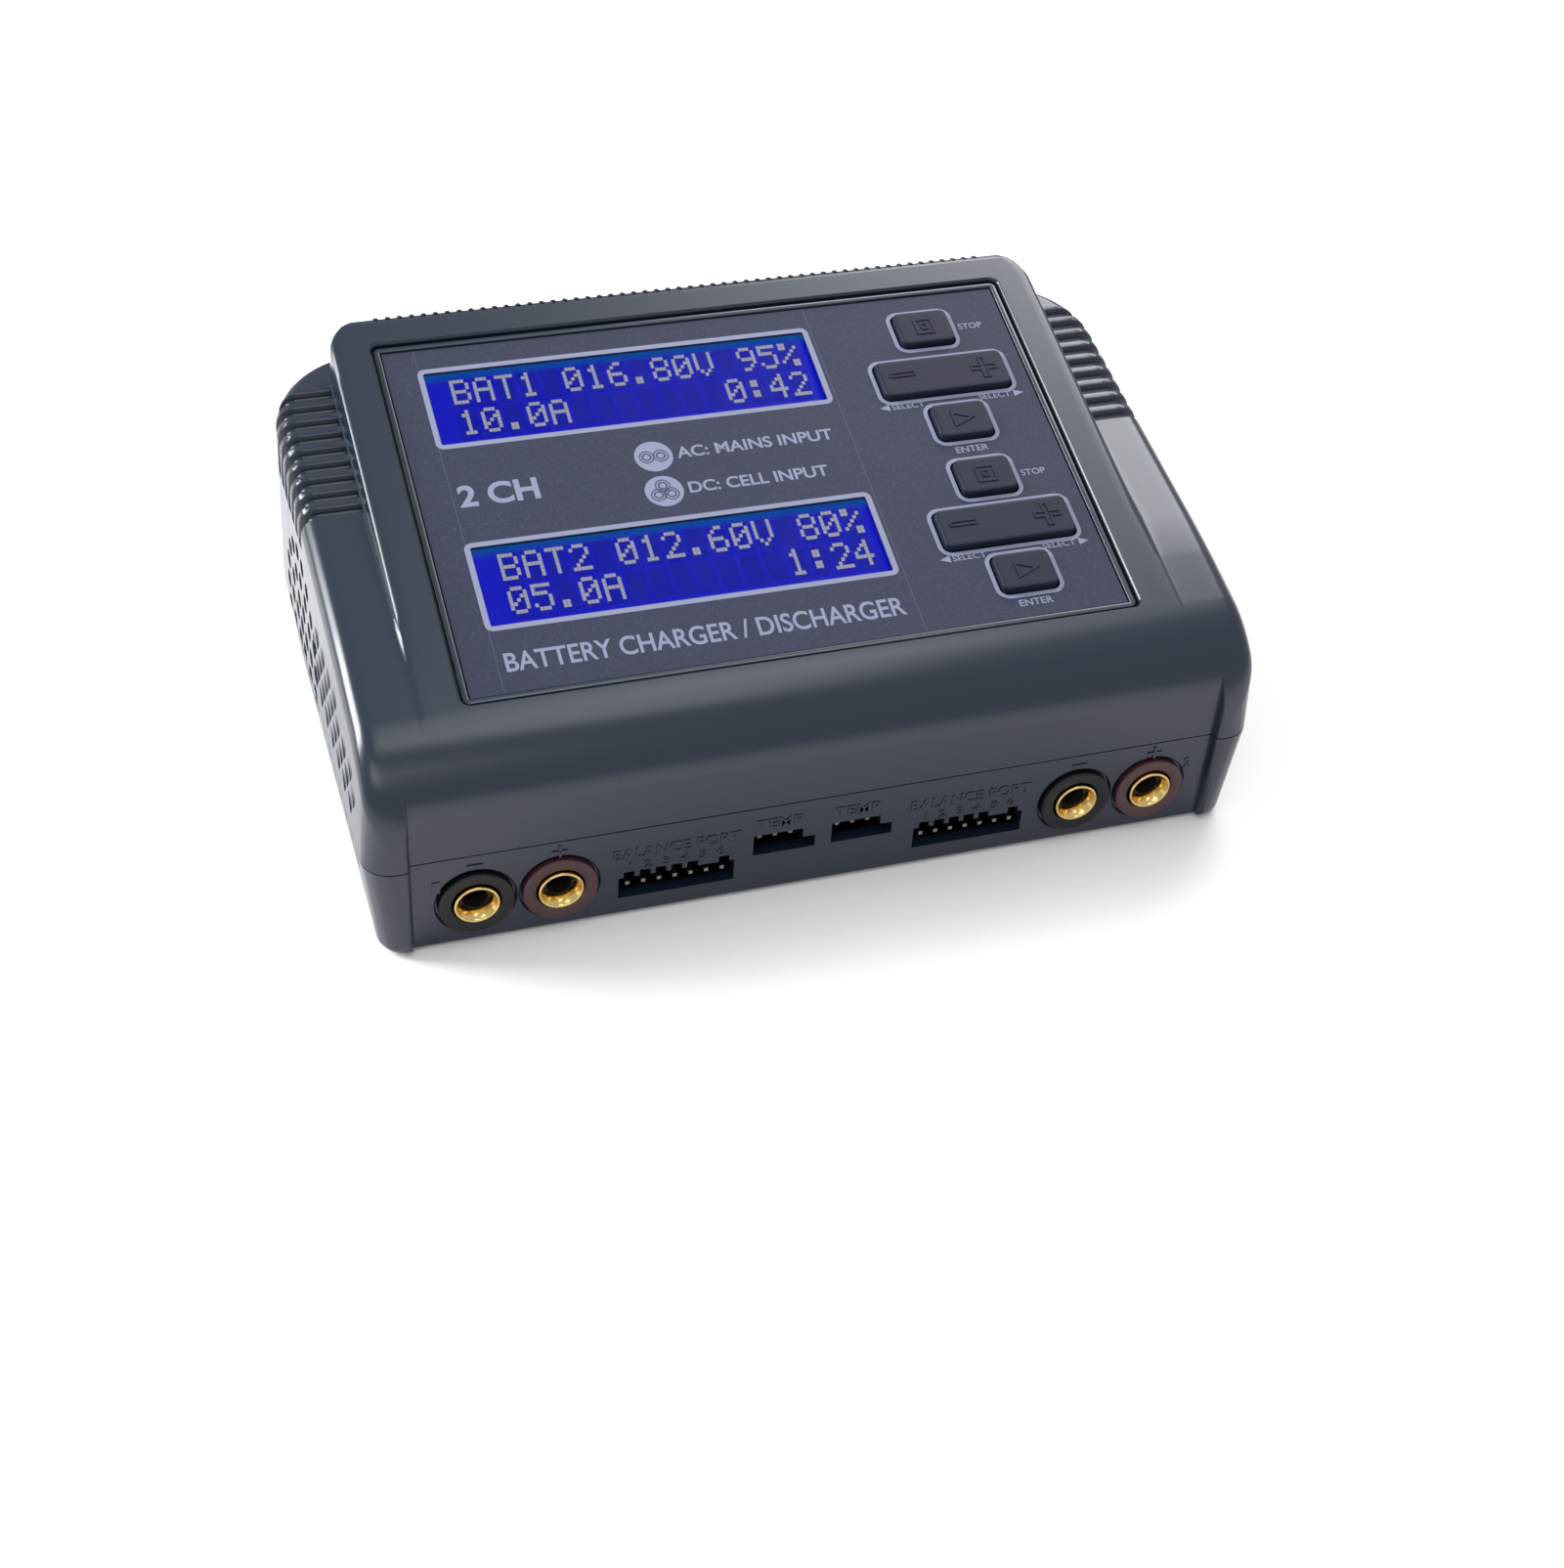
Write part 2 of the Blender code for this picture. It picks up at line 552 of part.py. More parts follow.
def header(name, x, pins, z, half, low, high, tip):
    """A pin header's shroud, open to the front, and its pins, which share a solder bar at their rear."""
    body = Shape().box((x - half, FACE + WALL + GAP, low), (x + half, SOCKET_BOARD_Y - 1.5, high))
    body = body.piece(f"{name}_header", BLACK_NYLON)
    cut(body, Shape().box((x - half + 0.7, FACE, low + 0.65), (x + half - 0.7, FACE + 6.8, high - 0.65)))
    holes, bar = Shape(), SOCKET_BOARD_Y - 1.2
    half_row = (pins - 1) / 2 * PIN_PITCH + 0.8
    comb = Shape().box((x - half_row, bar, z - 0.6), (x + half_row, bar + 0.9, z + 0.6))
    comb = comb.piece(f"{name}_pins", TIN)
    row = Shape()
    for i in range(pins):
        u, room = x + (i - (pins - 1) / 2) * PIN_PITCH, PIN_HALF + GAP
        holes.box((u - room, FACE + 6, z - room), (u + room, bar, z + room))
        row.box((u - PIN_HALF, FACE + tip, z - PIN_HALF), (u + PIN_HALF, bar + 0.5, z + PIN_HALF))
    cut(body, holes)
    join(comb, row)


def headers():
    for i, x in enumerate(BALANCE_XS, 1):
        header(f"balance_{i}", x, BALANCE_PINS, BALANCE_Z, 10.1, BASE + WALL + GAP, BALANCE_Z + 3.9, 0.9)
    for i, x in enumerate(TEMP_XS, 1):
        header(f"temp_{i}", x, TEMP_PINS, TEMP_Z, 5.2, TEMP_Z - 2.6, TEMP_Z + 2.6, 1.9)
    board = Shape().box((-59.5, SOCKET_BOARD_Y, BASE + WALL + GAP), (59.5, SOCKET_BOARD_Y + BOARD, 16.5))
    board = board.piece("socket_board", GREEN_BOARD)
    holes = Shape()
    for x in output_places():
        holes.rod(3.9, (x, SOCKET_BOARD_Y, OUTPUT_Z), -1, BOARD + 1)
    cut(board, holes)


def inlet(name, y, size, depth, rim, pins, pin_radius, finish, metal):
    """An inlet whose cavity opens to the right, and its pins, which share a carrier behind it."""
    back, floor = INLET_FACE - depth, INLET_FACE - depth + 4
    (wide, tall), z = size, INLET_Z
    body = Shape().box((back, y - wide / 2, z - tall / 2), (INLET_FACE, y + wide / 2, z + tall / 2))
    body = body.piece(name, finish)
    cut(body, Shape().box((floor, y - wide / 2 + rim, z - tall / 2 + rim),
                          (INLET_FACE + 1, y + wide / 2 - rim, z + tall / 2 - rim)))
    carrier = Shape().box((back - 2, y - wide / 4, z - tall / 5), (back - GAP, y + wide / 4, z + tall / 5))
    carrier = carrier.piece(f"{name}_pins", metal)
    holes, rods = Shape(), Shape()
    for along, up in pins:
        holes.rod(pin_radius + GAP, (0, y + along, z + up), back - 1, floor + 1, "X", 12)
        rods.rod(pin_radius, (0, y + along, z + up), back - 3, INLET_FACE - 2.5, "X", 12)
    cut(body, holes)
    join(carrier, rods)


AC_PINS = ((-4.6, -1.4), (4.6, -1.4), (0.0, 2.6))
DC_PINS = ((-3.6, 0.0), (3.6, 0.0))


def inlets():
    inlet("ac_inlet", AC_Y, AC_SIZE, 17.0, 2.3, AC_PINS, 1.15, BLACK_NYLON, TIN)
    inlet("dc_inlet", DC_Y, DC_SIZE, 16.0, 1.1, DC_PINS, 1.75, YELLOW_TAPE, GOLD)


# Fan


def fan():
    """An axial fan: a frame whose spider holds the hub's shaft, and the rotor with its blades."""
    inner = FAN_OUTER + FAN_DEPTH
    half = FAN_SIZE / 2
    centre = (0, FAN_Y, FAN_Z)
    frame = Shape().box((FAN_OUTER, FAN_Y - half, FAN_Z - half), (inner, FAN_Y + half, FAN_Z + half))
    frame = frame.piece("fan_frame", BLACK_NYLON)
    cut(frame, Shape().rod(FAN_DUCT, centre, FAN_OUTER - 1, inner + 1, "X", 32))
    fixings = Shape()
    for a in (-FAN_HOLE, FAN_HOLE):
        for b in (-FAN_HOLE, FAN_HOLE):
            fixings.rod(1.7, (0, FAN_Y + a, FAN_Z + b), FAN_OUTER - 1, inner + 1, "X", 8)
    cut(frame, fixings)
    for i in range(3):
        spoke = Shape(Matrix.Translation(centre) @ Matrix.Rotation(2 * math.pi * i / 3, 4, "X"))
        spoke.box((inner - 1.2, -1.1, 0), (inner - 0.05, 1.1, FAN_DUCT + 0.6))
        join(frame, spoke)
    join(frame, Shape().rod(FAN_HUB - 0.6, centre, inner - 1.3, inner - 0.1, "X", 20))
    cut(frame, Shape().rod(1.3, centre, inner - 3, inner + 1, "X", 10))

    start, end = FAN_OUTER + 1.0, inner - 1.6
    middle = ((start + end) / 2, FAN_Y, FAN_Z)
    rotor = Shape().rod(FAN_HUB, centre, start, end, "X", 20).piece("fan_rotor", BLACK_NYLON, middle)
    blades = Shape()
    for i in range(7):
        turn = Matrix.Rotation(2 * math.pi * i / 7, 4, "X")
        blades.place = Matrix.Translation(middle) @ turn @ Matrix.Rotation(math.radians(38), 4, "Z")
        blades.box((-4.3, -0.45, FAN_HUB - 1.2), (4.3, 0.45, FAN_TIP))
    join(rotor, blades)
    join(rotor, Shape().rod(0.9, centre, end - 1, inner - GAP, "X", 10))


# Main board and what stands on it


def main_board():
    board = Shape().box((MAIN_BOARD_X[0], MAIN_BOARD_Y[0], MAIN_BOARD_Z),
                        (MAIN_BOARD_X[1], MAIN_BOARD_Y[1], MAIN_BOARD_Z + BOARD))
    board = board.piece("main_board", GREEN_BOARD)
    holes = Shape()
    for x, y in BOARD_SCREWS:
        holes.rod(1.5, (x, y, 0), MAIN_BOARD_Z - 1, MAIN_BOARD_Z + BOARD + 1, "Z", 8)
    cut(board, holes)


def transformer():
    """A ferrite core with a window on each side of its middle leg, and the winding round that leg."""
    x, y = -2.0, FACE + 40.0
    core = Shape().box((x - 14, y - 6, ON_BOARD), (x + 14, y + 6, ON_BOARD + 23))
    core = core.piece("transformer_core", FERRITE)
    windows = Shape()
    for side in (-1, 1):
        windows.box((x + side * 7 - 3.3, y - 7, ON_BOARD + 4), (x + side * 7 + 3.3, y + 7, ON_BOARD + 19))
    cut(core, windows)
    winding = Shape().box((x - 10, y - 10, ON_BOARD + 4.4), (x + 10, y + 10, ON_BOARD + 18.6))
    winding = winding.piece("transformer_winding", YELLOW_TAPE)
    cut(winding, Shape().box((x - 4, y - 6.4, ON_BOARD), (x + 4, y + 6.4, ON_BOARD + 30)))


def components():
    for i, y in enumerate((32.0, 51.0), 1):
        profile = [(0, 0), (8, 0), (8, 20), (7.4, 21), (0, 21)]
        Shape().turned(profile, (22, FACE + y, ON_BOARD), "Z", 20).piece(f"bulk_capacitor_{i}", BLUE_SLEEVE)

    ring = [(5.4 + 2.5 * math.cos(math.radians(a)), 2.6 + 2.5 * math.sin(math.radians(a)))
            for a in range(0, 360, 60)]
    Shape().turned(ring, (-38, FACE + 44, ON_BOARD), "Z", 16, ring=True).piece("toroid_coil", COPPER)

    back = FACE + 60.0
    outline = [(-20, back), (20, back)]
    for i in reversed(range(6)):
        x = -20 + i * 7.6
        outline += [(x + 2, back + 10), (x, back + 10)]
        if i:
            outline += [(x, back + 2.5), (x - 5.6, back + 2.5)]
    Shape().prism(outline, "Z", ON_BOARD, ON_BOARD + 22).piece("heatsink", ALUMINIUM)
    transistor = Shape().block((-5, back - GAP - 2.2), (10, 4.4), ON_BOARD + 3, ON_BOARD + 18)
    transistor.piece("power_transistor", BLACK_NYLON)

    Shape().rod(2.6, (44, FACE + 66, ON_BOARD + 2.7), -10, 10, "X", 14).piece("mains_fuse", GLASS)
    buzzer = [(0, 0), (6, 0), (6, 8), (1, 8), (1, 4), (0, 4)]
    Shape().turned(buzzer, (-20, FACE + 22, ON_BOARD), "Z", 16).piece("buzzer", BLACK_NYLON)


def fasteners_and_feet():
    corners = ("front_left", "front_right", "rear_left", "rear_right")
    for corner, (x, y) in zip(corners, CASE_SCREWS):
        profile = [(0, 5.4), (2.6, 5.4), (2.6, 7.7), (1.4, 7.7), (1.4, 30), (0, 31)]
        Shape().turned(profile, (x, y, 0), "Z", 12).piece(f"case_screw_{corner}", STEEL)
    for corner, (x, y) in zip(corners, FEET):
        profile = [(0, 0), (4.6, 0), (5, 0.4), (5, BASE + 0.4), (0, BASE + 0.4)]
        Shape().turned(profile, (x, y, 0), "Z", 20).piece(f"rubber_foot_{corner}", RUBBER)


def clear_scene():
    for item in list(bpy.data.objects):
        bpy.data.objects.remove(item)


def main():
    clear_scene()
    upper_shell()
    lower_shell()
    label()
    for channel in (1, 2):
        display(channel)
    keys()
    key_switches()
    output_sockets()
    headers()
    inlets()
    fan()
    main_board()
    transformer()
    components()
    fasteners_and_feet()


main()
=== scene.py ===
# %% [markdown]
# # A balance battery charger, finished for a studio picture
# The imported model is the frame: every piece here is made in the frame's own metres and rides on one of
# its bodies, so the keys press, the rockers rock and the fan turns with what is drawn on them. The frame
# gives plain working solids. This lesson remakes what the eye meets as finer meshes, and gives every
# piece a material that starts from the real stuff it is made of.

# %% Load the frame
import json
import math

import bmesh
import bpy
from mathutils import Matrix, Vector


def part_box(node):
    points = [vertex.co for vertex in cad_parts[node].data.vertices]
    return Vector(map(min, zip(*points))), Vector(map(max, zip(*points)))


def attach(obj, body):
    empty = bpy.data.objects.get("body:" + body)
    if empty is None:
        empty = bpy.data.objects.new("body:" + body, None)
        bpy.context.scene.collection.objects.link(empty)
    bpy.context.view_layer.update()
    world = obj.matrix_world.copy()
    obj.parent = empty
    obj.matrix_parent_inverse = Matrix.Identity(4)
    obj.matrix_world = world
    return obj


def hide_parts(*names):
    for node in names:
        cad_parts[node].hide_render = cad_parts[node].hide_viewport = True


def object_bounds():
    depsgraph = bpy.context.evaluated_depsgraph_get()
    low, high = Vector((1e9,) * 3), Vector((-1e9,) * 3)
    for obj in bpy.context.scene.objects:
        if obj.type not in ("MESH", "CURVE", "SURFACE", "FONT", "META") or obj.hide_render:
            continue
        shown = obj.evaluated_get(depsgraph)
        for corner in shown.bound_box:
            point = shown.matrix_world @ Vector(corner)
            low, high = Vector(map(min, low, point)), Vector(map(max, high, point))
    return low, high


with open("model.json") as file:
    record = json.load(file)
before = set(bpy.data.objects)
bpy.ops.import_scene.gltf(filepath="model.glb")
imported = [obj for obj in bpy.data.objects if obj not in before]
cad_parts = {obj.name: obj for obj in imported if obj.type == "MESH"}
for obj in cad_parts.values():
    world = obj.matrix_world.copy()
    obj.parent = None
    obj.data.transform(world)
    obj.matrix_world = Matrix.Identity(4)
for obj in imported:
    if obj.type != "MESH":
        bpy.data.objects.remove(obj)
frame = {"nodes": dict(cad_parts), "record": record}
cad_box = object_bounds()
nodes = frame["nodes"]
MM = 0.001
print("nodes", len(nodes), "box", [round(side / MM, 1) for side in cad_box[1] - cad_box[0]], "mm")

# %% [markdown]
# ## Colours and nodes
# Colours are given as sRGB hex values, but a shader works in linear light, so one function turns
# one into the other. A second helper adds a node with its settings and its links in one line, which keeps
# each material below short enough to read as a recipe.


# %% Colour and node helpers
def linear(hex_colour):
    """A hex colour such as #2b303c as linear red, green, blue and alpha."""
    parts = [int(hex_colour[i:i + 2], 16) / 255 for i in (1, 3, 5)]
    return (*((c / 12.92 if c <= 0.04045 else ((c + 0.055) / 1.055) ** 2.4) for c in parts), 1.0)


def add(tree, kind, links=None, **settings):
    """Adds one node. Links name or number its inputs, each a value or another node's output."""
    made = tree.nodes.new("ShaderNode" + kind)
    for name, value in settings.items():
        setattr(made, name, value)
    for name, value in (links or {}).items():
        if isinstance(value, bpy.types.NodeSocket):
            tree.links.new(value, made.inputs[name])
        else:
            made.inputs[name].default_value = value
    return made


def per(size_mm):
    """A pattern's scale, in repeats to the metre, from the size of one repeat in millimetres."""
    return 1 / (size_mm * MM)


# %% [markdown]
# ## Moulded, rolled and cut surfaces
# Most of the charger is moulded plastic: ABS for the case and keys, nylon for the connectors. The mould is
# spark eroded, which leaves a fine pebbled texture a few tenths of a millimetre across and a few hundredths
# deep. That breaks a highlight into a satin sheen. One recipe covers such surfaces: fine noise drives the
# relief, and wide soft noise drifts the colour and the gloss a little, as no real moulding is even.


# %% The common recipe
def surface(name, colour, roughness, metallic=0.0, ior=1.5, grain=0.35, relief=0.012, drift=0.08,
            stretch=(1, 1, 1), coat=0.0, shine=0.5):
    """A material from a hex colour; grain and relief are its texture's width and depth in mm."""
    made = bpy.data.materials.new(name)
    made.use_nodes = True
    tree = made.node_tree
    shader = tree.nodes["Principled BSDF"]
    place = add(tree, "TexCoord").outputs["Object"]
    drawn = add(tree, "Mapping", {"Vector": place, "Scale": stretch}).outputs["Vector"]
    fine = add(tree, "TexNoise", {"Vector": drawn, "Scale": per(grain), "Detail": 2.0, "Roughness": 0.6})
    wide = add(tree, "TexNoise", {"Vector": place, "Scale": per(28), "Detail": 3.0})
    base = linear(colour)
    dark = tuple(c * (1 - drift) for c in base[:3]) + (1.0,)
    light = tuple(min(c * (1 + drift), 1.0) for c in base[:3]) + (1.0,)
    # A Mix node numbers its colour sockets 6 and 7, after its number and vector sockets.
    tint = add(tree, "Mix", {"Factor": wide.outputs["Fac"], 6: dark, 7: light}, data_type="RGBA")
    gloss = add(tree, "MapRange", {"Value": fine.outputs["Fac"], "To Min": max(roughness - 0.06, 0.02),
                                   "To Max": min(roughness + 0.06, 1.0)})
    bump = add(tree, "Bump", {"Height": fine.outputs["Fac"], "Distance": relief * MM, "Strength": 1.0})
    tree.links.new(tint.outputs[2], shader.inputs["Base Color"])
    tree.links.new(gloss.outputs["Result"], shader.inputs["Roughness"])
    tree.links.new(bump.outputs["Normal"], shader.inputs["Normal"])
    shader.inputs["Metallic"].default_value = metallic
    if not metallic:
        shader.inputs["IOR"].default_value = ior
    shader.inputs["Coat Weight"].default_value = coat
    shader.inputs["Specular IOR Level"].default_value = shine
    return made


# %% Plastics and rubber
# Injection moulded in a spark eroded mould: a satin sheen that breaks up along its edges.
case_abs = surface("case_abs", "#151f2c", 0.24, ior=1.53, grain=0.32, relief=0.003)
# Moulded against a polished insert: the strip round the label gives a narrow bright line.
polished_abs = surface("polished_abs", "#1a2430", 0.15, ior=1.53, grain=0.5, relief=0.001)
# Moulded with a finer, duller grain, so fingers don't slip: keys stay darker than the case.
key_abs = surface("key_abs", "#14182a", 0.48, grain=0.25, relief=0.004, shine=0.2)
# Moulded nylon flows into a fine semi-matt skin, so connectors look deep and soft.
black_nylon = surface("black_nylon", "#050607", 0.42, ior=1.53, grain=0.3, relief=0.006, shine=0.3)
red_nylon = surface("red_nylon", "#3a1418", 0.38, ior=1.53, grain=0.3, relief=0.005)
yellow_nylon = surface("yellow_nylon", "#d8a21c", 0.4, ior=1.53, grain=0.3, relief=0.006)
# Die cut from sheet rubber: no clear highlight at all.
foot_rubber = surface("foot_rubber", "#1b1b1c", 0.82, grain=0.6, relief=0.03)
# Shrunk on with hot air, which leaves it taut, glossy and slightly wavy.
shrink_sleeve = surface("shrink_sleeve", "#1d3266", 0.28, grain=2.0, relief=0.01, coat=0.3)
# Wound on in turns, so long low ridges run round the winding.
polyester_tape = surface("polyester_tape", "#c89a22", 0.35, grain=3.0, relief=0.03, stretch=(0.2, 1, 1))

# %% [markdown]
# ## Metals
# A metal has no colour under its shine: the base colour tints the reflection itself. The same recipe serves
# with the metallic value turned up. A stretched noise stands for the lines that a lathe, a die or a winding
# machine leaves along one direction.

# %% Metals
# Plated over turned brass: fine rings stay visible in a bright, warm reflection.
gold_plate = surface("gold_plate", "#dbbc78", 0.16, metallic=1.0, grain=0.4, relief=0.004, drift=0.05,
                     stretch=(1, 0.2, 1))
# The deep bore is in shade, so its brass liner is painted nearly black: painted shade.
painted_shade_brass = surface("painted_shade_brass", "#171009", 0.6, grain=0.4, relief=0.01)
# Dipped in molten tin: a soft grey shine.
tin_plate = surface("tin_plate", "#8f9092", 0.35, metallic=1.0, grain=0.3, relief=0.004)
# Cold headed steel under a thin zinc plate, slightly cloudy.
zinc_steel = surface("zinc_steel", "#a9abad", 0.32, metallic=1.0, grain=0.5, relief=0.006)
# Pressed from sheet steel and painted thinly, so some metal shine comes through.
black_steel = surface("black_steel", "#17181a", 0.38, metallic=0.6, grain=0.4, relief=0.006)
# Pushed through a die, which draws fine lines along its length.
extruded_aluminium = surface("extruded_aluminium", "#b9bcbf", 0.34, metallic=1.0, grain=0.3, relief=0.012,
                             stretch=(1, 1, 0.03))
# Drawn copper wire under clear enamel, wound side by side: each turn shows as a ridge.
enamelled_copper = surface("enamelled_copper", "#b4552a", 0.3, metallic=1.0, grain=0.9, relief=0.12,
                           stretch=(1, 1, 0.3))
# Pressed powder, fired hard: dull, dark and faintly gritty.
sintered_ferrite = surface("sintered_ferrite", "#37373a", 0.62, grain=0.5, relief=0.02)
print("plastics and metals", len(bpy.data.materials))

# %% [markdown]
# ## Circuit board
# A board is glass cloth in resin under a green lacquer. The copper tracks below the lacquer show as lighter
# ribbons. Drawing real tracks would take an image, so a Voronoi pattern's cell borders stand in for them.


# %% Circuit board lacquer
def board_lacquer():
    made = surface("board_lacquer", "#0e4a2c", 0.3, grain=0.5, relief=0.004, coat=0.4)
    tree = made.node_tree
    shader = tree.nodes["Principled BSDF"]
    place = add(tree, "TexCoord").outputs["Object"]
    cells = add(tree, "TexVoronoi", {"Vector": place, "Scale": per(3.4)}, feature="DISTANCE_TO_EDGE")
    tracks = add(tree, "Math", {0: cells.outputs["Distance"], 1: 0.12}, operation="LESS_THAN")
    tint = add(tree, "Mix", {"Factor": tracks.outputs["Value"], 6: linear("#0c4327"), 7: linear("#1d6b3f")},
               data_type="RGBA")
    tree.links.new(tint.outputs[2], shader.inputs["Base Color"])
    return made


board_lacquer = board_lacquer()

# %% [markdown]
# ## Clear window and fuse glass
# The windows in the label are rolled clear polyester, so light passes and only a faint reflection shows. The
# fuse is a drawn glass tube. Both are the common recipe with its transmission turned up.


# %% Clear materials
def clear(name, colour, roughness, ior):
    made = surface(name, colour, roughness, ior=ior, grain=5.0, relief=0.0001, drift=0.0)
    made.node_tree.nodes["Principled BSDF"].inputs["Transmission Weight"].default_value = 1.0
    return made


window_film = clear("window_film", "#ffffff", 0.02, 1.06)
fuse_glass = clear("fuse_glass", "#f2f5f4", 0.04, 1.45)

# %% [markdown]
# ## Sizes
# The driving sizes of the case are in millimetres. The frame's own box and nodes give the rest, so each
# piece stays in its place if the frame changes.

# %% Driving sizes
FRONT, REAR = cad_box[0].y / MM, cad_box[1].y / MM - 0.45
FACE = FRONT + 1.5
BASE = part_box("lower_shell")[0].z / MM
PARTING = BASE + 16.7
SEAM = 0.2
WALL, TOP_WALL = 2.0, 3.4
BASE_HALF, MIDDLE_HALF, TOP_HALF = 69.4, cad_box[1].x / MM, 70.2
FRONT_CORNER, REAR_CORNER, BASE_EDGE, TOP_EDGE, SHOULDER_EDGE = 4.5, 13.0, 1.2, 1.7, 3.0
CHEEK_INNER = 64.2
TILT, SHOULDER_TILT = math.radians(15.1), math.radians(9.3)
PANEL_Y, PANEL_Z = FACE + 45.7, BASE + 45.5
PLATEAU_HALF, PLATEAU_CORNER, PLATEAU_EDGE = 60.0, 6.5, 1.0
SHOULDER_Y, SHOULDER_Z = FACE + 17.0, BASE + 38.0
NOSE_RADIUS = 16.2
NOSE_Y = FRONT + NOSE_RADIUS
NOSE_Z = (PANEL_Z + (NOSE_Y - NOSE_RADIUS * math.sin(TILT) - PANEL_Y) * math.tan(TILT)
          - NOSE_RADIUS * math.cos(TILT))
PANEL = Matrix.Translation((0, PANEL_Y, PANEL_Z)) @ Matrix.Rotation(TILT, 4, "X")
AXES = {"X": ((1, 0, 0), (0, 1, 0), (0, 0, 1)), "Y": ((0, 1, 0), (0, 0, 1), (1, 0, 0)),
        "Z": ((0, 0, 1), (1, 0, 0), (0, 1, 0))}


def on_panel(point):
    """A point of the frame, in metres, as x, distance up the slope and height over it, in mm."""
    return PANEL.inverted() @ (Vector(point) / MM)


print("case", round(REAR - FRONT, 1), "mm deep, slope", round(math.degrees(TILT), 1), "degrees")

# %% [markdown]
# ## A small modelling kit
# Nearly everything here is one of three things: a skin drawn over sections, a profile turned about an axis,
# or a flat outline given a thickness. One class collects such closed solids in a bmesh and makes an object
# of them. Shaping the lips of a cutter, rather than bevelling after a Boolean, gives round edges that stay
# clean, because the cut itself leaves them.


# %% Outlines
def arc(centre, radius, start, end, steps):
    """Points along a circle's arc, angles in degrees."""
    turns = [math.radians(start + (end - start) * i / steps) for i in range(steps + 1)]
    return [(centre[0] + radius * math.cos(a), centre[1] + radius * math.sin(a)) for a in turns]


def rounded(middle, size, radius, grow=0.0, steps=6):
    """A rectangle with round corners, grown by a margin on every side."""
    (x, y), wide, tall = middle, size[0] / 2 + grow, size[1] / 2 + grow
    bend = max(radius + grow, 0.05)
    corners = [(1, 1, 0), (-1, 1, 90), (-1, -1, 180), (1, -1, 270)]
    return [point for a, b, turn in corners
            for point in arc((x + a * (wide - bend), y + b * (tall - bend)), bend, turn, turn + 90, steps)]


def oblong(left, low, right, high):
    return [(left, low), (right, low), (right, high), (left, high)]


def cross(middle, near, far):
    """A plus sign whose arms are twice near wide and reach far."""
    quarter = [(near, near), (near, far), (-near, far), (-near, near), (-far, near), (-far, -near)]
    return [(middle[0] + sign * u, middle[1] + sign * v) for sign in (1, -1) for u, v in quarter]


# %% The modelling kit
class Form:
    """Closed solids in one mesh, in millimetres, each placed by the form's own matrix."""

    def __init__(self, place=None):
        self.mesh = bmesh.new()
        self.place = place or Matrix()

    def skin(self, sections, ends=True):
        """Quads over sections of equally many points, closed at both ends unless the skin is a ring."""
        rows = [[self.mesh.verts.new(self.place @ Vector(p)) for p in section] for section in sections]
        if ends:
            self.mesh.faces.new(rows[0])
            self.mesh.faces.new(rows[-1])
        else:
            rows.append(rows[0])
        for near, far in zip(rows, rows[1:]):
            for i, corner in enumerate(near):
                j = (i + 1) % len(near)
                self.mesh.faces.new((corner, near[j], far[j], far[i]))
        return self

    def turned(self, profile, centre, axis="Y", steps=48):
        """A closed profile of radii and distances turned about an axis; zero radii make it solid."""
        along, side, up = (Vector(direction) for direction in AXES[axis])
        rings = []
        for radius, distance in profile:
            middle = Vector(centre) + along * distance
            spokes = [2 * math.pi * i / steps for i in range(steps if radius else 1)]
            spots = [middle + (side * math.cos(a) + up * math.sin(a)) * radius for a in spokes]
            ring = [self.mesh.verts.new(self.place @ spot) for spot in spots]
            rings.append([ring[i % len(ring)] for i in range(steps + 1)])
        for near, far in zip(rings, rings[1:] + rings[:1]):
            for i in range(steps):
                face = list(dict.fromkeys((near[i], near[i + 1], far[i + 1], far[i])))
                if len(face) > 2:
                    self.mesh.faces.new(face)
        return self

    def slab(self, outline, low, high):
        """A flat outline with a thickness."""
        return self.skin([[(x, y, level) for x, y in outline] for level in (low, high)])

    def pad(self, middle, size, radius, levels):
        """A stack of round-cornered rectangles: each level is a height and how far it grows sideways."""
        return self.skin([[(x, y, height) for x, y in rounded(middle, size, radius, grow)]
                          for height, grow in levels])

    def line(self, outline, width, low, high):
        """A closed outline drawn as a line of that width, inwards from the outline."""
        middle = sum((Vector(p) for p in outline), Vector((0, 0))) / len(outline)
        count, rings = len(outline), []
        for i, point in enumerate(outline):
            before, after = Vector(outline[i - 1]), Vector(outline[(i + 1) % count])
            here = Vector(point)
            a, b = (here - before).normalized(), (after - here).normalized()
            inward = Vector((-(a + b).y, (a + b).x))
            inward = inward.normalized() if inward.length > 1e-6 else (middle - here).normalized()
            reach = width / max(inward.dot(Vector((-b.y, b.x))), 0.3)
            inner = here + inward * reach
            rings.append([(*here, low), (*here, high), (*inner, high), (*inner, low)])
        return self.skin(rings, ends=False)

    def piece(self, name, material, body="housing", replaces=(), slot=None, sharp=30):
        """The form as a shown piece that rides on a body of the frame."""
        made = self.object(name, material, sharp)
        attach(made, body)
        if replaces:
            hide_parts(*replaces)
        return made

    def object(self, name, material=None, sharp=30):
        bmesh.ops.recalc_face_normals(self.mesh, faces=self.mesh.faces)
        bmesh.ops.scale(self.mesh, verts=self.mesh.verts, vec=(MM, MM, MM))
        data = bpy.data.meshes.new(name)
        self.mesh.to_mesh(data)
        self.mesh.free()
        made = bpy.data.objects.new(name, data)
        bpy.context.scene.collection.objects.link(made)
        if material:
            data.materials.append(material)
        data.shade_smooth()
        data.set_sharp_from_angle(angle=math.radians(sharp))
        return made


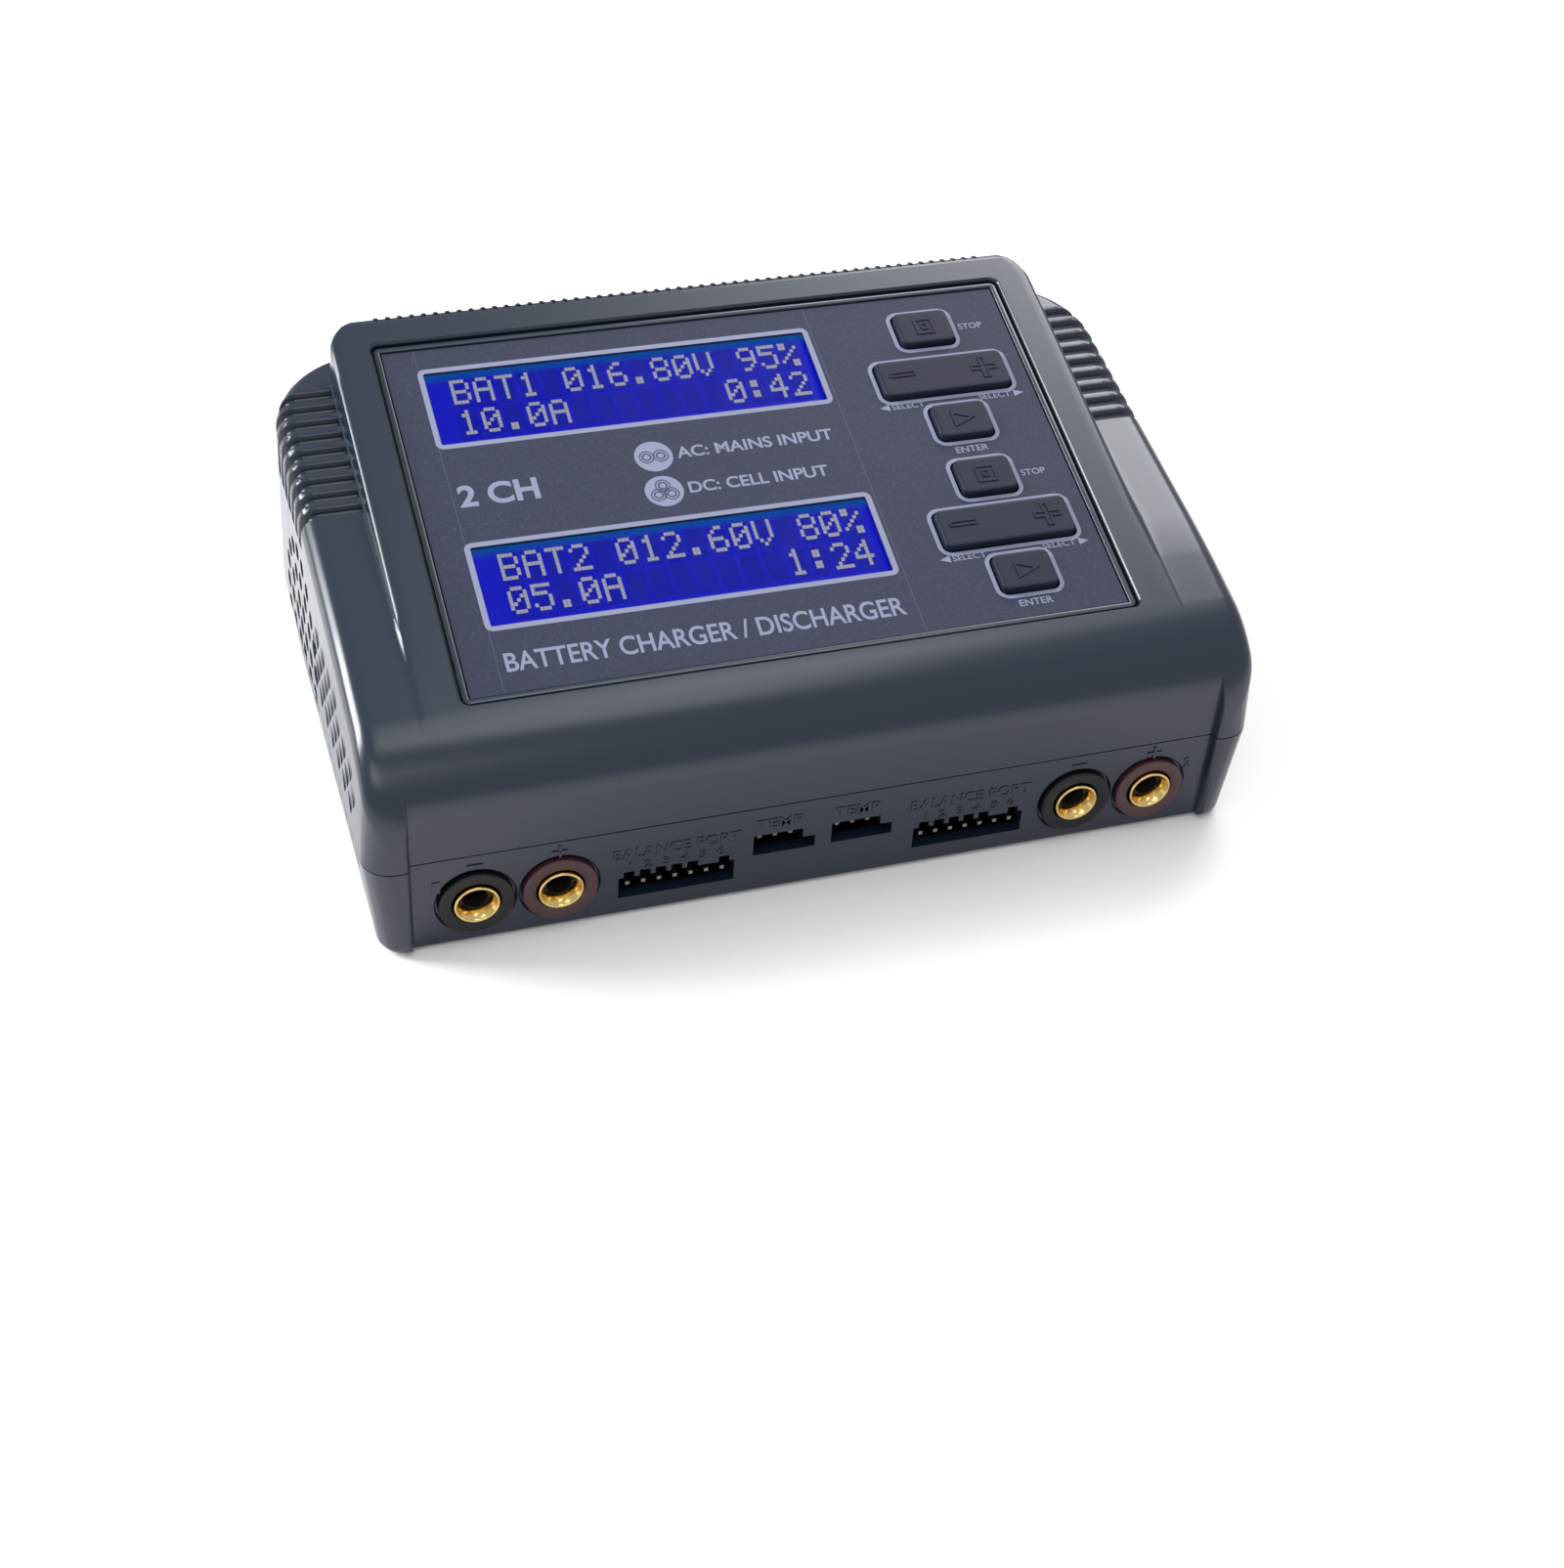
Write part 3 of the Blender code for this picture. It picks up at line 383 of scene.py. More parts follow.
# %% [markdown]
# Booleans are applied as soon as they are made, and the tools are removed, so that only real pieces are
# left in the scene. Weighted normals then let the large flat faces keep their flat shading right up to the
# small rounded lips beside them.


# %% Cutting
def carve(piece, *tools):
    """Cuts the tools out of a piece, one after another."""
    material = piece.data.materials[0]
    for tool in tools:
        cutter = tool.object("cutter")
        modifier = piece.modifiers.new("Cut", "BOOLEAN")
        modifier.operation, modifier.solver, modifier.object = "DIFFERENCE", "EXACT", cutter
        settle(piece)
        bpy.data.objects.remove(cutter)
    piece.data.materials.clear()
    piece.data.materials.append(material)
    piece.data.shade_smooth()
    piece.data.set_sharp_from_angle(angle=math.radians(30))
    modifier = piece.modifiers.new("Flat faces stay flat", "WEIGHTED_NORMAL")
    modifier.keep_sharp = True
    modifier.weight = 80
    return piece


def settle(piece):
    """Replaces a piece's mesh with what its modifiers make of it."""
    bpy.context.view_layer.update()
    evaluated = piece.evaluated_get(bpy.context.evaluated_depsgraph_get())
    data = bpy.data.meshes.new_from_object(evaluated)
    piece.modifiers.clear()
    old, piece.data = piece.data, data
    bpy.data.meshes.remove(old)


# %% [markdown]
# ## Camera, floor and light
# The camera stands in front, a little to the left, and looks down at the sloping top, as someone does who
# reads the displays. The floor is plain and pale. A wide soft box behind and to the right makes the right
# shoulder shine, with a faint one beside it for the rim. One at the left lights the side wall, and one in
# front and one above keep the connector face and the label readable.

# %% Camera
EYE = (-103.1, FACE - 255.4, BASE + 260.1)
HEADING, LOOK_DOWN, ROLL = (math.radians(angle) for angle in (-20.47, 41.25, 4.59))
lens = bpy.data.cameras.new("camera")
lens.sensor_width = 36.0
lens.lens = 36.0 * 2470.6 / 1604
camera = bpy.data.objects.new("camera", lens)
camera.matrix_world = (Matrix.Translation(Vector(EYE) * MM) @ Matrix.Rotation(HEADING, 4, "Z")
                       @ Matrix.Rotation(math.pi / 2 - LOOK_DOWN, 4, "X") @ Matrix.Rotation(ROLL, 4, "Z"))
bpy.context.scene.collection.objects.link(camera)
bpy.context.scene.camera = camera

# %% Floor and light
floor_paint = surface("floor_paint", "#f7f5f1", 0.7, grain=2.0, relief=0.01, drift=0.01)
floor = Form().slab(oblong(-3000, -3000, 3000, 3000), -20, 0).object("floor", floor_paint)


def soft_box(name, place, aim, size, power):
    """A rectangular light in millimetres that looks at a point."""
    light = bpy.data.lights.new(name, "AREA")
    light.shape = "RECTANGLE"
    light.size, light.size_y = size[0] * MM, size[1] * MM
    light.energy = power
    light.color = linear("#fafcff")[:3]
    made = bpy.data.objects.new(name, light)
    made.location = Vector(place) * MM
    made.rotation_euler = (Vector(aim) - Vector(place)).to_track_quat("-Z", "Y").to_euler()
    bpy.context.scene.collection.objects.link(made)


soft_box("key_light", (520, 640, 760), (20, 10, 30), (500, 440), 4.8)
soft_box("rim_light", (330, 240, 840), (20, 10, 30), (500, 300), 0.4)
soft_box("top_light", (160, -40, 900), (0, 0, 30), (520, 300), 1.2)
soft_box("front_light", (-300, -650, 800), (0, 0, 30), (700, 350), 1.6)
soft_box("left_light", (-700, 330, 420), (-40, 60, 0), (400, 400), 11.0)
world = bpy.data.worlds.new("studio")
world.use_nodes = True
world.node_tree.nodes["Background"].inputs["Color"].default_value = linear("#ebf0f8")
world.node_tree.nodes["Background"].inputs["Strength"].default_value = 0.8
bpy.context.scene.world = world
bpy.context.scene.view_settings.view_transform = "Standard"
print("camera lens", round(lens.lens, 1), "mm, lights", len(bpy.data.lights))

# %% [markdown]
# ## Case form
# Both shells are cut from one form, so that their outlines meet at the parting line. The form is a skin
# over sections that stand across the case from front to rear. Each is worked out from the side profile
# (a nose of one large radius, then a straight slope) and from the plan (round corners, larger at the rear).
# The raised block leaves the shoulders where its steeper slope crosses theirs.


# %% Case form
def fallback(distance, radius):
    """How far a rounded corner has drawn in at a distance from the end of its side."""
    return radius - math.sqrt(radius**2 - (radius - distance) ** 2) if distance < radius else 0.0


def top_height(y, sunk=0.0):
    """Height of the sloping top and its nose, or of a surface sunk below them."""
    radius = NOSE_RADIUS - sunk
    if y < NOSE_Y - radius * math.sin(TILT):
        return NOSE_Z + math.sqrt(radius**2 - (y - NOSE_Y) ** 2)
    return PANEL_Z + (y - PANEL_Y) * math.tan(TILT) - sunk / math.cos(TILT)


def soft_least(a, b, reach=1.2):
    """The lesser of two heights, with the corner between them rounded off."""
    near = max(reach - abs(a - b), 0) / reach
    return min(a, b) - near * near * reach / 4


def shoulder_height(y):
    return SHOULDER_Z + (y - SHOULDER_Y) * math.tan(SHOULDER_TILT)


def half_width(y, half, wall=0.0):
    rear = fallback(REAR - wall - y, REAR_CORNER - wall)
    return half - wall - rear - fallback(y - FRONT - wall, FRONT_CORNER - wall)


def section(y, front, rear, wall, sunk, steps):
    """Outline of the case across Y: up its right side from the middle of the floor, then its mirror."""
    edge, base_edge = max(SHOULDER_EDGE - wall, 1.0), max(BASE_EDGE - wall, 0.2)
    low = BASE + wall + fallback(y - front, base_edge) + fallback(rear - y, base_edge)
    crown = min(top_height(y, sunk) - fallback(rear - y, TOP_EDGE), cad_box[1].z / MM)
    shoulder = soft_least(shoulder_height(y) - wall, crown)
    block = PLATEAU_HALF - wall - fallback(rear - y, PLATEAU_CORNER - wall)
    bevel = min(PLATEAU_EDGE, (crown - shoulder) / 2)
    base, middle, top = (half_width(y, half, wall) for half in (BASE_HALF, MIDDLE_HALF, TOP_HALF))
    right = arc((base - base_edge, low + base_edge), base_edge, -90, 0, steps // 2)
    right += [(middle, PARTING)] + arc((top - edge, shoulder - edge), edge, 0, 90, steps)
    room = top - edge - block
    gap, foot, flat = min(0.3, room * 0.3), max(min(0.5, bevel, room * 0.3), 0.01), room * 0.15
    right += [(top - edge - flat, shoulder), (block + gap + foot + flat, shoulder)]
    right += [(block + gap + foot, shoulder), (block + gap, shoulder + min(foot * 0.4, bevel))]
    for angle in (0, 30, 60, 90):
        turn = math.radians(angle)
        right.append((block - PLATEAU_EDGE * (1 - math.cos(turn)), crown - bevel * (1 - math.sin(turn))))
    right.append((block - PLATEAU_EDGE - 1.2, crown))
    return [(x, y, z) for x, z in right] + [(-x, y, z) for x, z in reversed(right)]


def arc_places(radius, steps, most=90.0):
    """Distances from the end of a side at which an arc of that radius turns by equal angles."""
    return [radius * (1 - math.cos(math.radians(most * i / steps))) for i in range(steps + 1)]


def thinned(places, apart=0.06):
    kept = []
    for place in sorted(places):
        if not kept or place - kept[-1] > apart:
            kept.append(place)
    return kept


def ridge_start(wall=0.0, sunk=0.0):
    """Where the sloping top rises out of the shoulders."""
    rise = SHOULDER_Z - wall - PANEL_Z + sunk / math.cos(TILT)
    steeper = math.tan(TILT) - math.tan(SHOULDER_TILT)
    return (rise + PANEL_Y * math.tan(TILT) - SHOULDER_Y * math.tan(SHOULDER_TILT)) / steeper


def case_form(front, rear, wall=0.0, sunk=0.0, fine=1):
    nose = arc_places(NOSE_RADIUS - sunk, 9 * fine, 90 - math.degrees(TILT))
    ahead = nose + arc_places(FRONT_CORNER, 4 * fine) + arc_places(BASE_EDGE, 2 * fine)
    behind = arc_places(REAR_CORNER - wall, 6 * fine) + arc_places(TOP_EDGE, 3 * fine)
    behind += arc_places(PLATEAU_CORNER - wall, 3 * fine)
    ridge = ridge_start(wall, sunk)
    stations = [front + d for d in thinned(ahead)] + [ridge + d for d in (0, 1, 2, 3, 4.5, 6.5, 9)]
    stations += [rear - d for d in reversed(thinned(behind))]
    return Form().skin([section(y, front, rear, wall, sunk, 4 * fine) for y in stations])


def outer_form():
    return case_form(FRONT, REAR, fine=2)


def hollow_form():
    return case_form(FACE + WALL, REAR - WALL, WALL, TOP_WALL)


# %% [markdown]
# ## Shell tooling
# The connector face is set back between two cheeks. Its cutter has a sloping border, so that the cheeks end
# in a soft edge, as a mould with draft leaves them.


# %% Cutters that both shells share
def face_recess():
    """What lies in front of the flat connector face, between the cheeks, up to a soft turn into the nose."""
    fillet = 8.0
    rise = math.sqrt((NOSE_RADIUS - fillet) ** 2 - (FACE + fillet - NOSE_Y) ** 2)
    meets = math.degrees(math.atan2(rise, FACE + fillet - NOSE_Y))
    turn = arc((FACE + fillet, NOSE_Z + rise), fillet, 180, meets, 8)
    (y, z), lean = turn[-1], math.radians(meets)
    side = [(FRONT - 6, -3), (FACE, -3)] + turn
    side += [(y + 4 * math.cos(lean), z + 4 * math.sin(lean)), (FRONT - 6, z + 4)]
    borders = ((0.0, 0.0), (0.08, 0.15), (0.3, 0.8), (0.55, 1.25), (1.0, 1.5), (1.8, 1.7))
    places = [(-CHEEK_INNER - g, out) for g, out in reversed(borders)]
    places += [(CHEEK_INNER + g, out) for g, out in borders]
    return Form().skin([[(x, y - out, z) for y, z in side] for x, out in places])


def wall_cut(form, side, middle, size, radius, lip=0.25):
    """Adds a round-cornered hole through the side wall, with a softened lip at the outer surface."""
    levels = ((3, lip * 4), (0.05, lip * 2), (-0.2, lip), (-0.6, 0.0), (-7.0, 0.0))
    form.skin([[(side * (MIDDLE_HALF + out), y, z) for y, z in rounded(middle, size, radius, grow, 4)]
               for out, grow in levels])


def middle_of(node):
    """The middle of a frame node's box, and the box's size, in millimetres."""
    low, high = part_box(node)
    return (low + high) / 2 / MM, (high - low) / MM


def inlet_cuts():
    form = Form()
    for node in ("ac_inlet", "dc_inlet"):
        middle, size = middle_of(node)
        wall_cut(form, 1, (middle.y, middle.z), (size.y + 0.5, size.z + 0.5), 0.8)
    return form


# %% [markdown]
# ## Shoulder grooves and rear ribs
# Nine grooves wrap from the raised block over each shoulder and down its side. Each cutter is a trough
# swept along the shoulder's own outline, and its depth runs out at the foot. The lands between them are left
# as rounded bars, which is what catches the light. The rear ribs stand out of the wall instead, so they are
# added as half-round bars, which turn in over the top edge and make it look milled like a coin's.

# %% Groove cutters
GROOVES, GROOVE_PITCH, GROOVE_HALF, GROOVE_DEPTH = 9, 3.25, 0.85, 1.05
LAST_GROOVE, GROOVE_FOOT = FACE + 78.1, BASE + 38.0


def groove(side, y):
    """A trough along the shoulder at y, as a closed form."""
    top, out, edge = shoulder_height(y), half_width(y, TOP_HALF), SHOULDER_EDGE
    path = [((PLATEAU_HALF + 0.45, top), (0, 1), 1.0), ((out - edge, top), (0, 1), 1.0)]
    for (x, z), angle in zip(arc((out - edge, top - edge), edge, 80, 10, 7), range(80, 0, -10)):
        turn = math.radians(angle)
        path.append(((x, z), (math.cos(turn), math.sin(turn)), 1.0))
    for drop, depth in ((edge, 1.0), (top - GROOVE_FOOT - 1.6, 1.0), (top - GROOVE_FOOT, 0.0)):
        path.append(((out, top - drop), (1, 0), depth))
    trough = [(-GROOVE_HALF - 0.35, 1.0), (-GROOVE_HALF - 0.35, 0.02), (-GROOVE_HALF - 0.08, -0.12),
              (-GROOVE_HALF + 0.08, -0.45), (-0.62, -0.85), (-0.3, -GROOVE_DEPTH)]
    trough += [(-u, v) for u, v in reversed(trough)]
    sections = []
    for (x, z), (nx, nz), depth in path:
        ring = []
        for u, v in trough:
            reach = v * depth if v < 0 else v
            lift = u * math.tan(SHOULDER_TILT) * nz
            ring.append((side * (x + nx * reach), y + u, z + nz * reach + lift))
        sections.append(ring)
    return sections


def groove_cuts():
    form = Form()
    for side in (-1, 1):
        for i in range(GROOVES):
            form.skin(groove(side, LAST_GROOVE - i * GROOVE_PITCH))
    return form


print("grooves", 2 * GROOVES, "at", GROOVE_PITCH, "mm")

# %% Rear ribs
RIBS, RIB_PITCH, RIB_HALF, RIB_HEIGHT = 54, 1.95, 0.48, 0.44


def rear_ribs():
    """Half-round ribs up the rear wall, which turn in over its top edge and run out."""
    form = Form()
    profile = arc((0, 0), 1.0, 0, 180, 6)
    for i in range(RIBS):
        x = (i - (RIBS - 1) / 2) * RIB_PITCH
        top = top_height(REAR) - TOP_EDGE
        path = [((REAR, z), (1, 0), height)
                for z, height in ((PARTING + 1.6, 0.2), (PARTING + 2.4, 1.0), (top, 1.0))]
        for angle, height in ((15, 1.0), (30, 1.0), (45, 1.0), (58, 0.9), (68, 0.5), (78, 0.15)):
            turn = math.radians(angle)
            out = (math.cos(turn), math.sin(turn))
            y = REAR - TOP_EDGE * (1 - out[0])
            path.append(((y, top_height(y) - TOP_EDGE * (1 - out[1])), out, height))
        sections = []
        for (y, z), (ny, nz), tall in path:
            lifts = [v * RIB_HEIGHT * tall - 0.1 for _, v in profile]
            sections.append([(x + u * RIB_HALF, y + ny * lift, min(z + nz * lift, cad_box[1].z / MM))
                             for (u, _), lift in zip(profile, lifts)])
        form.skin(sections)
    return form


# %% [markdown]
# ## Side walls
# Air is drawn in through round holes in the left wall, over the fan, and leaves through slots in the right
# wall. In front of the fan the left wall is dressed with blind diamonds: shallow four-sided pits in a
# lattice, each with a small flat bottom.


# %% Vent and diamond cutters
HOLE_STEP, HOLE_SIZE = 4.3, (3.0, 3.0)
SLOTS, SLOT_STEP, SLOT_SIZE = 11, 4.0, (1.8, 7.0)
DIAMOND_ROWS, DIAMOND_COLUMNS, DIAMOND_STEP, DIAMOND_HALF = 9, 7, (5.0, 3.1), (2.2, 2.7)


def fan_holes():
    middle, _ = middle_of("fan_rotor")
    form = Form()
    for ring, count in ((0, 1), (1, 6), (2, 12), (3, 18)):
        for i in range(count):
            turn = 2 * math.pi * i / count
            y, z = middle.y + ring * HOLE_STEP * math.cos(turn), middle.z + ring * HOLE_STEP * math.sin(turn)
            wall_cut(form, -1, (y, z), HOLE_SIZE, 1.49, lip=0.12)
    return form


def exhaust_slots():
    form = Form()
    for i in range(SLOTS):
        wall_cut(form, 1, (FACE + 24 + i * SLOT_STEP, BASE + 31), SLOT_SIZE, 0.85, lip=0.15)
    return form


def diamonds():
    """Blind diamond pits over the front part of the left wall, in staggered rows."""
    form = Form()
    (along, up), (wide, tall) = DIAMOND_STEP, DIAMOND_HALF
    for row in range(DIAMOND_ROWS):
        for column in range(DIAMOND_COLUMNS):
            y = FACE + 8.0 + column * along + (row % 2) * along / 2
            z = BASE + 6.5 + row * up
            if z > shoulder_height(y) - 7 or z > top_height(y) - 7 or abs(z - PARTING) < 2.9:
                continue
            out = BASE_HALF + (MIDDLE_HALF - BASE_HALF) * min((z - BASE) / (PARTING - BASE), 1)
            if z > PARTING:
                high = shoulder_height(y) - SHOULDER_EDGE
                out = MIDDLE_HALF + (TOP_HALF - MIDDLE_HALF) * (z - PARTING) / (high - PARTING)
            rings = []
            for level, scale in ((0.4, 1.1), (0.02, 1.0), (-0.06, 0.86), (-0.2, 0.4)):
                corners = ((wide, 0), (0, tall), (-wide, 0), (0, -tall))
                rings.append([(-(out + level), y + a * scale, z + b * scale) for a, b in corners])
            form.skin(rings)
    return form


# %% [markdown]
# ## The shells
# The recess for the label has a sloping border about a millimetre wide. That border is the bright line
# round the label. Its cutter is a stack of round-cornered rectangles in the panel's own plane.

# %% Recess for the label
RECESS = (107.3, 71.7)
LABEL_TOP = on_panel((0, PANEL_Y * MM, PANEL_Z * MM)).z - 0.9
RECESS_FLOOR = -1.6


def label_recess():
    levels = ((5, 0.6), (0.03, 0.42), (-0.1, 0.25), (-0.26, 0.1), (-0.5, 0.02), (RECESS_FLOOR, 0.0))
    return Form(PANEL).pad((0, 0), RECESS, 1.3, levels)


def spread(node, above=-99.0):
    """The middle and size, in the panel's plane, of what a node has above a height."""
    spots = [on_panel(v.co) for v in nodes[node].data.vertices]
    low, high = ([edge(p[i] for p in spots if p.z > above) for i in (0, 1)] for edge in (min, max))
    return ((low[0] + high[0]) / 2, (low[1] + high[1]) / 2), (high[0] - low[0], high[1] - low[1])


def key_cap(name):
    """A key's cap is what stands above the panel's plane. Its foot below is wider."""
    return spread(name, above=0.0)


def display_openings():
    """Each display's steel bezel sits in an opening of the recess floor."""
    form = Form(PANEL)
    for channel in (1, 2):
        middle, (wide, tall) = spread(f"lcd_bezel_{channel}")
        form.pad(middle, (wide + 0.6, tall + 0.6), 0.4, ((-8, 0), (0.5, 0)))
    return form


KEYS = [f"{kind}_key_{channel}" for channel in (1, 2) for kind in ("stop", "rocker", "enter")]


def panel_openings(grow, low, high, radius=0.9):
    """Round-cornered openings over each key, in the panel's plane."""
    form = Form(PANEL)
    for name in KEYS:
        middle, size = key_cap(name)
        form.pad(middle, size, radius, ((low, grow), (high, grow)))
    return form


# %% Upper shell
AROUND_CASE = oblong(-95, -70, 95, 70)
upper = outer_form().piece("upper_shell_skin", case_abs, replaces=["upper_shell"], slot="case_abs")
below_parting = Form().slab(AROUND_CASE, -9, PARTING + SEAM / 2)
carve(upper, below_parting, face_recess(), hollow_form(), label_recess(), display_openings(),
      panel_openings(0.45, -7, 3), groove_cuts(), fan_holes(), exhaust_slots(), inlet_cuts(), diamonds())
rear_ribs().piece("rear_ribs", case_abs, slot="case_abs")
print("upper shell", len(upper.data.polygons), "faces")

# %% [markdown]
# The lower shell carries the connectors. Its openings follow the plugs: a round counterbore for each output
# socket, a toothed window for each balance header, and a stepped one for each temperature header.

# %% Lower shell cutters
OUTPUTS = [f"output_contact_{pole}_{channel}" for channel in (1, 2) for pole in ("minus", "plus")]
PIN_PITCH = 2.5


def header_window(name, pins, teeth):
    middle, _ = middle_of(f"{name}_pins")
    x, z, half = middle.x, middle.z, pins * PIN_PITCH / 2 + 0.4
    outline = [(x - half, z - 2.05), (x + half, z - 2.05), (x + half, z + 2.05)]
    for i in reversed(teeth):
        tooth = x + (i - (pins - 1) / 2) * PIN_PITCH
        outline += [(tooth + 0.85, z + 2.05), (tooth + 0.85, z + 3.15), (tooth - 0.85, z + 3.15),
                    (tooth - 0.85, z + 2.05)]
    return outline + [(x - half, z + 2.05)]


def stepped_window(name):
    middle, _ = middle_of(f"{name}_pins")
    left, right, low = middle.x - 4.05, middle.x + 3.9, middle.z - 2.0
    step = [(right + 2, low), (right + 2, low + 2.25), (right, low + 2.25), (right, low + 4)]
    return [(left, low)] + step + [(left, low + 4)]


def connector_cuts():
    form = Form()
    windows = [header_window(f"balance_{i}", 7, (0, 1, 2, 3, 4, 6)) for i in (1, 2)]
    windows += [stepped_window(f"temp_{i}") for i in (1, 2)]
    for outline in windows:
        form.skin([[(x, y, z) for x, z in outline] for y in (FACE - 1, FACE + WALL + 1)])
    counterbore = [(0, -1), (6.5, -1), (6.35, 0.0), (6.15, 0.15), (6.1, 0.6), (4.6, 0.6)]
    through = [(4.6, WALL + 1), (0, WALL + 1)]
    for node in OUTPUTS:
        middle, _ = middle_of(node)
        form.turned(counterbore + through, (middle.x, FACE, middle.z))
    return form


CORNERS = ("front_left", "front_right", "rear_left", "rear_right")


def floor_cuts():
    """Counterbores for the case screws, seats for the feet and slots for air."""
    form = Form()
    screw_bore = [(0, -1), (3.3, -1), (3.1, BASE + 0.1), (2.9, BASE + 0.4), (2.9, 8.0), (0, 8.0)]
    foot_seat = [(0, -1), (5.45, -1), (5.3, BASE + 0.3), (5.3, BASE + 0.7), (0, BASE + 0.7)]
    slot_levels = ((-1, 0.3), (BASE, 0.15), (BASE + 0.3, 0), (5, 0))
    for corner in CORNERS:
        for profile, node in ((screw_bore, "case_screw_"), (foot_seat, "rubber_foot_")):
            middle, _ = middle_of(node + corner)
            form.turned(profile, (middle.x, middle.y, 0), "Z")
    for x in (-24.0, 24.0):
        for i in range(7):
            form.pad((x, FACE + 30 + i * 5.0), (26, 1.8), 0.85, slot_levels)
    return form


def screw_posts():
    """Hollow posts that rise from the floor to the parting line, round the case screws."""
    form = Form()
    profile = [(1.7, 5.0), (4.2, BASE + 1.5), (4.2, PARTING - 0.3), (1.7, PARTING - 0.3)]
    for corner in CORNERS:
        screw, _ = middle_of(f"case_screw_{corner}")
        form.turned(profile, (screw.x, screw.y, 0), "Z", 32)
    return form


# %% Lower shell
lower = outer_form().piece("lower_shell_skin", case_abs, replaces=["lower_shell"], slot="case_abs")
above_parting = Form().slab(AROUND_CASE, PARTING - SEAM / 2, 99)
carve(lower, above_parting, face_recess(), hollow_form(), connector_cuts(), floor_cuts(), fan_holes(),
      inlet_cuts(), diamonds())
screw_posts().piece("screw_posts", case_abs, slot="case_abs")
print("lower shell", len(lower.data.polygons), "faces")

# %% [markdown]
# ## Label
# The label is a polyester film with a fine grained, matte front, printed on its back in a purple grey. The
# grain makes tiny glints, so its noise drives both the relief and small flecks of lighter colour: painted
# glints.


# %% Label film
def label_film():
    made = surface("label_film", "#1f2234", 0.58, ior=1.5, grain=0.22, relief=0.014, drift=0.05, shine=0.3)
    tree = made.node_tree
    shader = tree.nodes["Principled BSDF"]
    place = add(tree, "TexCoord").outputs["Object"]
    # Lighter flecks from fine noise are painted glints of the film's grain.
    glint_noise = add(tree, "TexNoise", {"Vector": place, "Scale": per(0.45), "Detail": 1.0})
    painted_glint = add(tree, "MapRange", {"Value": glint_noise.outputs["Fac"], "From Min": 0.52, "From Max": 0.78})
    tint = add(tree, "Mix", {"Factor": painted_glint.outputs["Result"], 6: linear("#24273b"), 7: linear("#2f334a")},
               data_type="RGBA")
    tree.links.new(tint.outputs[2], shader.inputs["Base Color"])
    return made


LCD_VIEW = (63.4, 15.1)
displays = {}
for channel in (1, 2):
    glass = [on_panel(v.co) for v in nodes[f"lcd_glass_{channel}"].data.vertices]
    displays[channel] = (sum(p.x for p in glass) / len(glass), sum(p.y for p in glass) / len(glass))

levels = ((LABEL_TOP - 0.4, -1.45), (LABEL_TOP - 0.05, -1.45), (LABEL_TOP, -1.5))
label = Form(PANEL).pad((0, 0), RECESS, 1.3, levels)
label = label.piece("label_film", label_film(), replaces=["label_plate"], slot="label_film")
strip = ((-0.35, RECESS_FLOOR), (-0.35, -0.72), (-0.42, -0.63), (-0.52, -0.6),
         (-1.1, -0.6), (-1.2, -0.63), (-1.27, -0.72), (-1.3, RECESS_FLOOR))
border = [[(x, w, height) for x, w in rounded((0, 0), RECESS, 1.3, out)] for out, height in strip]
Form(PANEL).skin(border, ends=False).piece("label_border", polished_abs, slot="case_abs", sharp=50)
windows = Form(PANEL)
for channel, middle in displays.items():
    windows.pad(middle, LCD_VIEW, 0.3, ((-3, 0), (1, 0)))
carve(label, windows, panel_openings(0.3, -3, 1))
print("label film", len(label.data.polygons), "faces, with", len(displays), "windows")

# %% [markdown]
# ## Print on the label
# The print is screened on in lavender ink: frames round the displays and keys, and small generic signs. A
# screened layer is flat, matt and even. It is made as real outlines a few hundredths of a millimetre thick,
# so its edges stay crisp at any distance.

# %% Printed frames
print_ink = surface("print_ink", "#7c7f95", 0.55, grain=0.3, relief=0.004, drift=0.03, shine=0.3)
dark_ink = surface("dark_ink", "#3d4058", 0.55, grain=0.3, relief=0.004, drift=0.03, shine=0.3)
INK_LOW, INK_HIGH = LABEL_TOP - 0.02, LABEL_TOP + 0.03
ink = Form(PANEL)
for middle in displays.values():
    ink.line(rounded(middle, LCD_VIEW, 0.3, 0.95), 0.9, INK_LOW, INK_HIGH)
for name in KEYS:
    middle, size = key_cap(name)
    ink.line(rounded(middle, size, 1.1, 1.05), 0.68, INK_LOW, INK_HIGH)
ink.piece("printed_frames", print_ink)


# %% Printed signs
def words(name, text, place, height, width, material, deep=0.03, bold=0.035):
    """Generic lettering as a flat relief, centred on a place and fitted to a height and a width in mm."""
    font = bpy.data.curves.new("words", "FONT")
    font.body, font.size, font.offset, font.extrude = text, 1.0, bold, 0.5
    lettering = bpy.data.objects.new("words", font)
    bpy.context.scene.collection.objects.link(lettering)
    bpy.context.view_layer.update()
    data = bpy.data.meshes.new_from_object(lettering.evaluated_get(bpy.context.evaluated_depsgraph_get()))
    bpy.data.objects.remove(lettering)
    spots = [v.co.copy() for v in data.vertices]
    low, high = (Vector([edge(c[i] for c in spots) for i in range(3)]) for edge in (min, max))
    scale = [size / (b - a) for size, a, b in zip((width, height, deep), low, high)]
    for vertex, spot in zip(data.vertices, spots):
        fitted = Vector((spot[i] - (low[i] + high[i]) / 2) * scale[i] for i in range(3))
        vertex.co = place @ fitted * MM
    data.materials.clear()
    data.materials.append(material)
    made = bpy.data.objects.new(name, data)
    bpy.context.scene.collection.objects.link(made)
    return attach(made, "housing")


def on_label(x, w):
    return PANEL @ Matrix.Translation((x, w, LABEL_TOP))


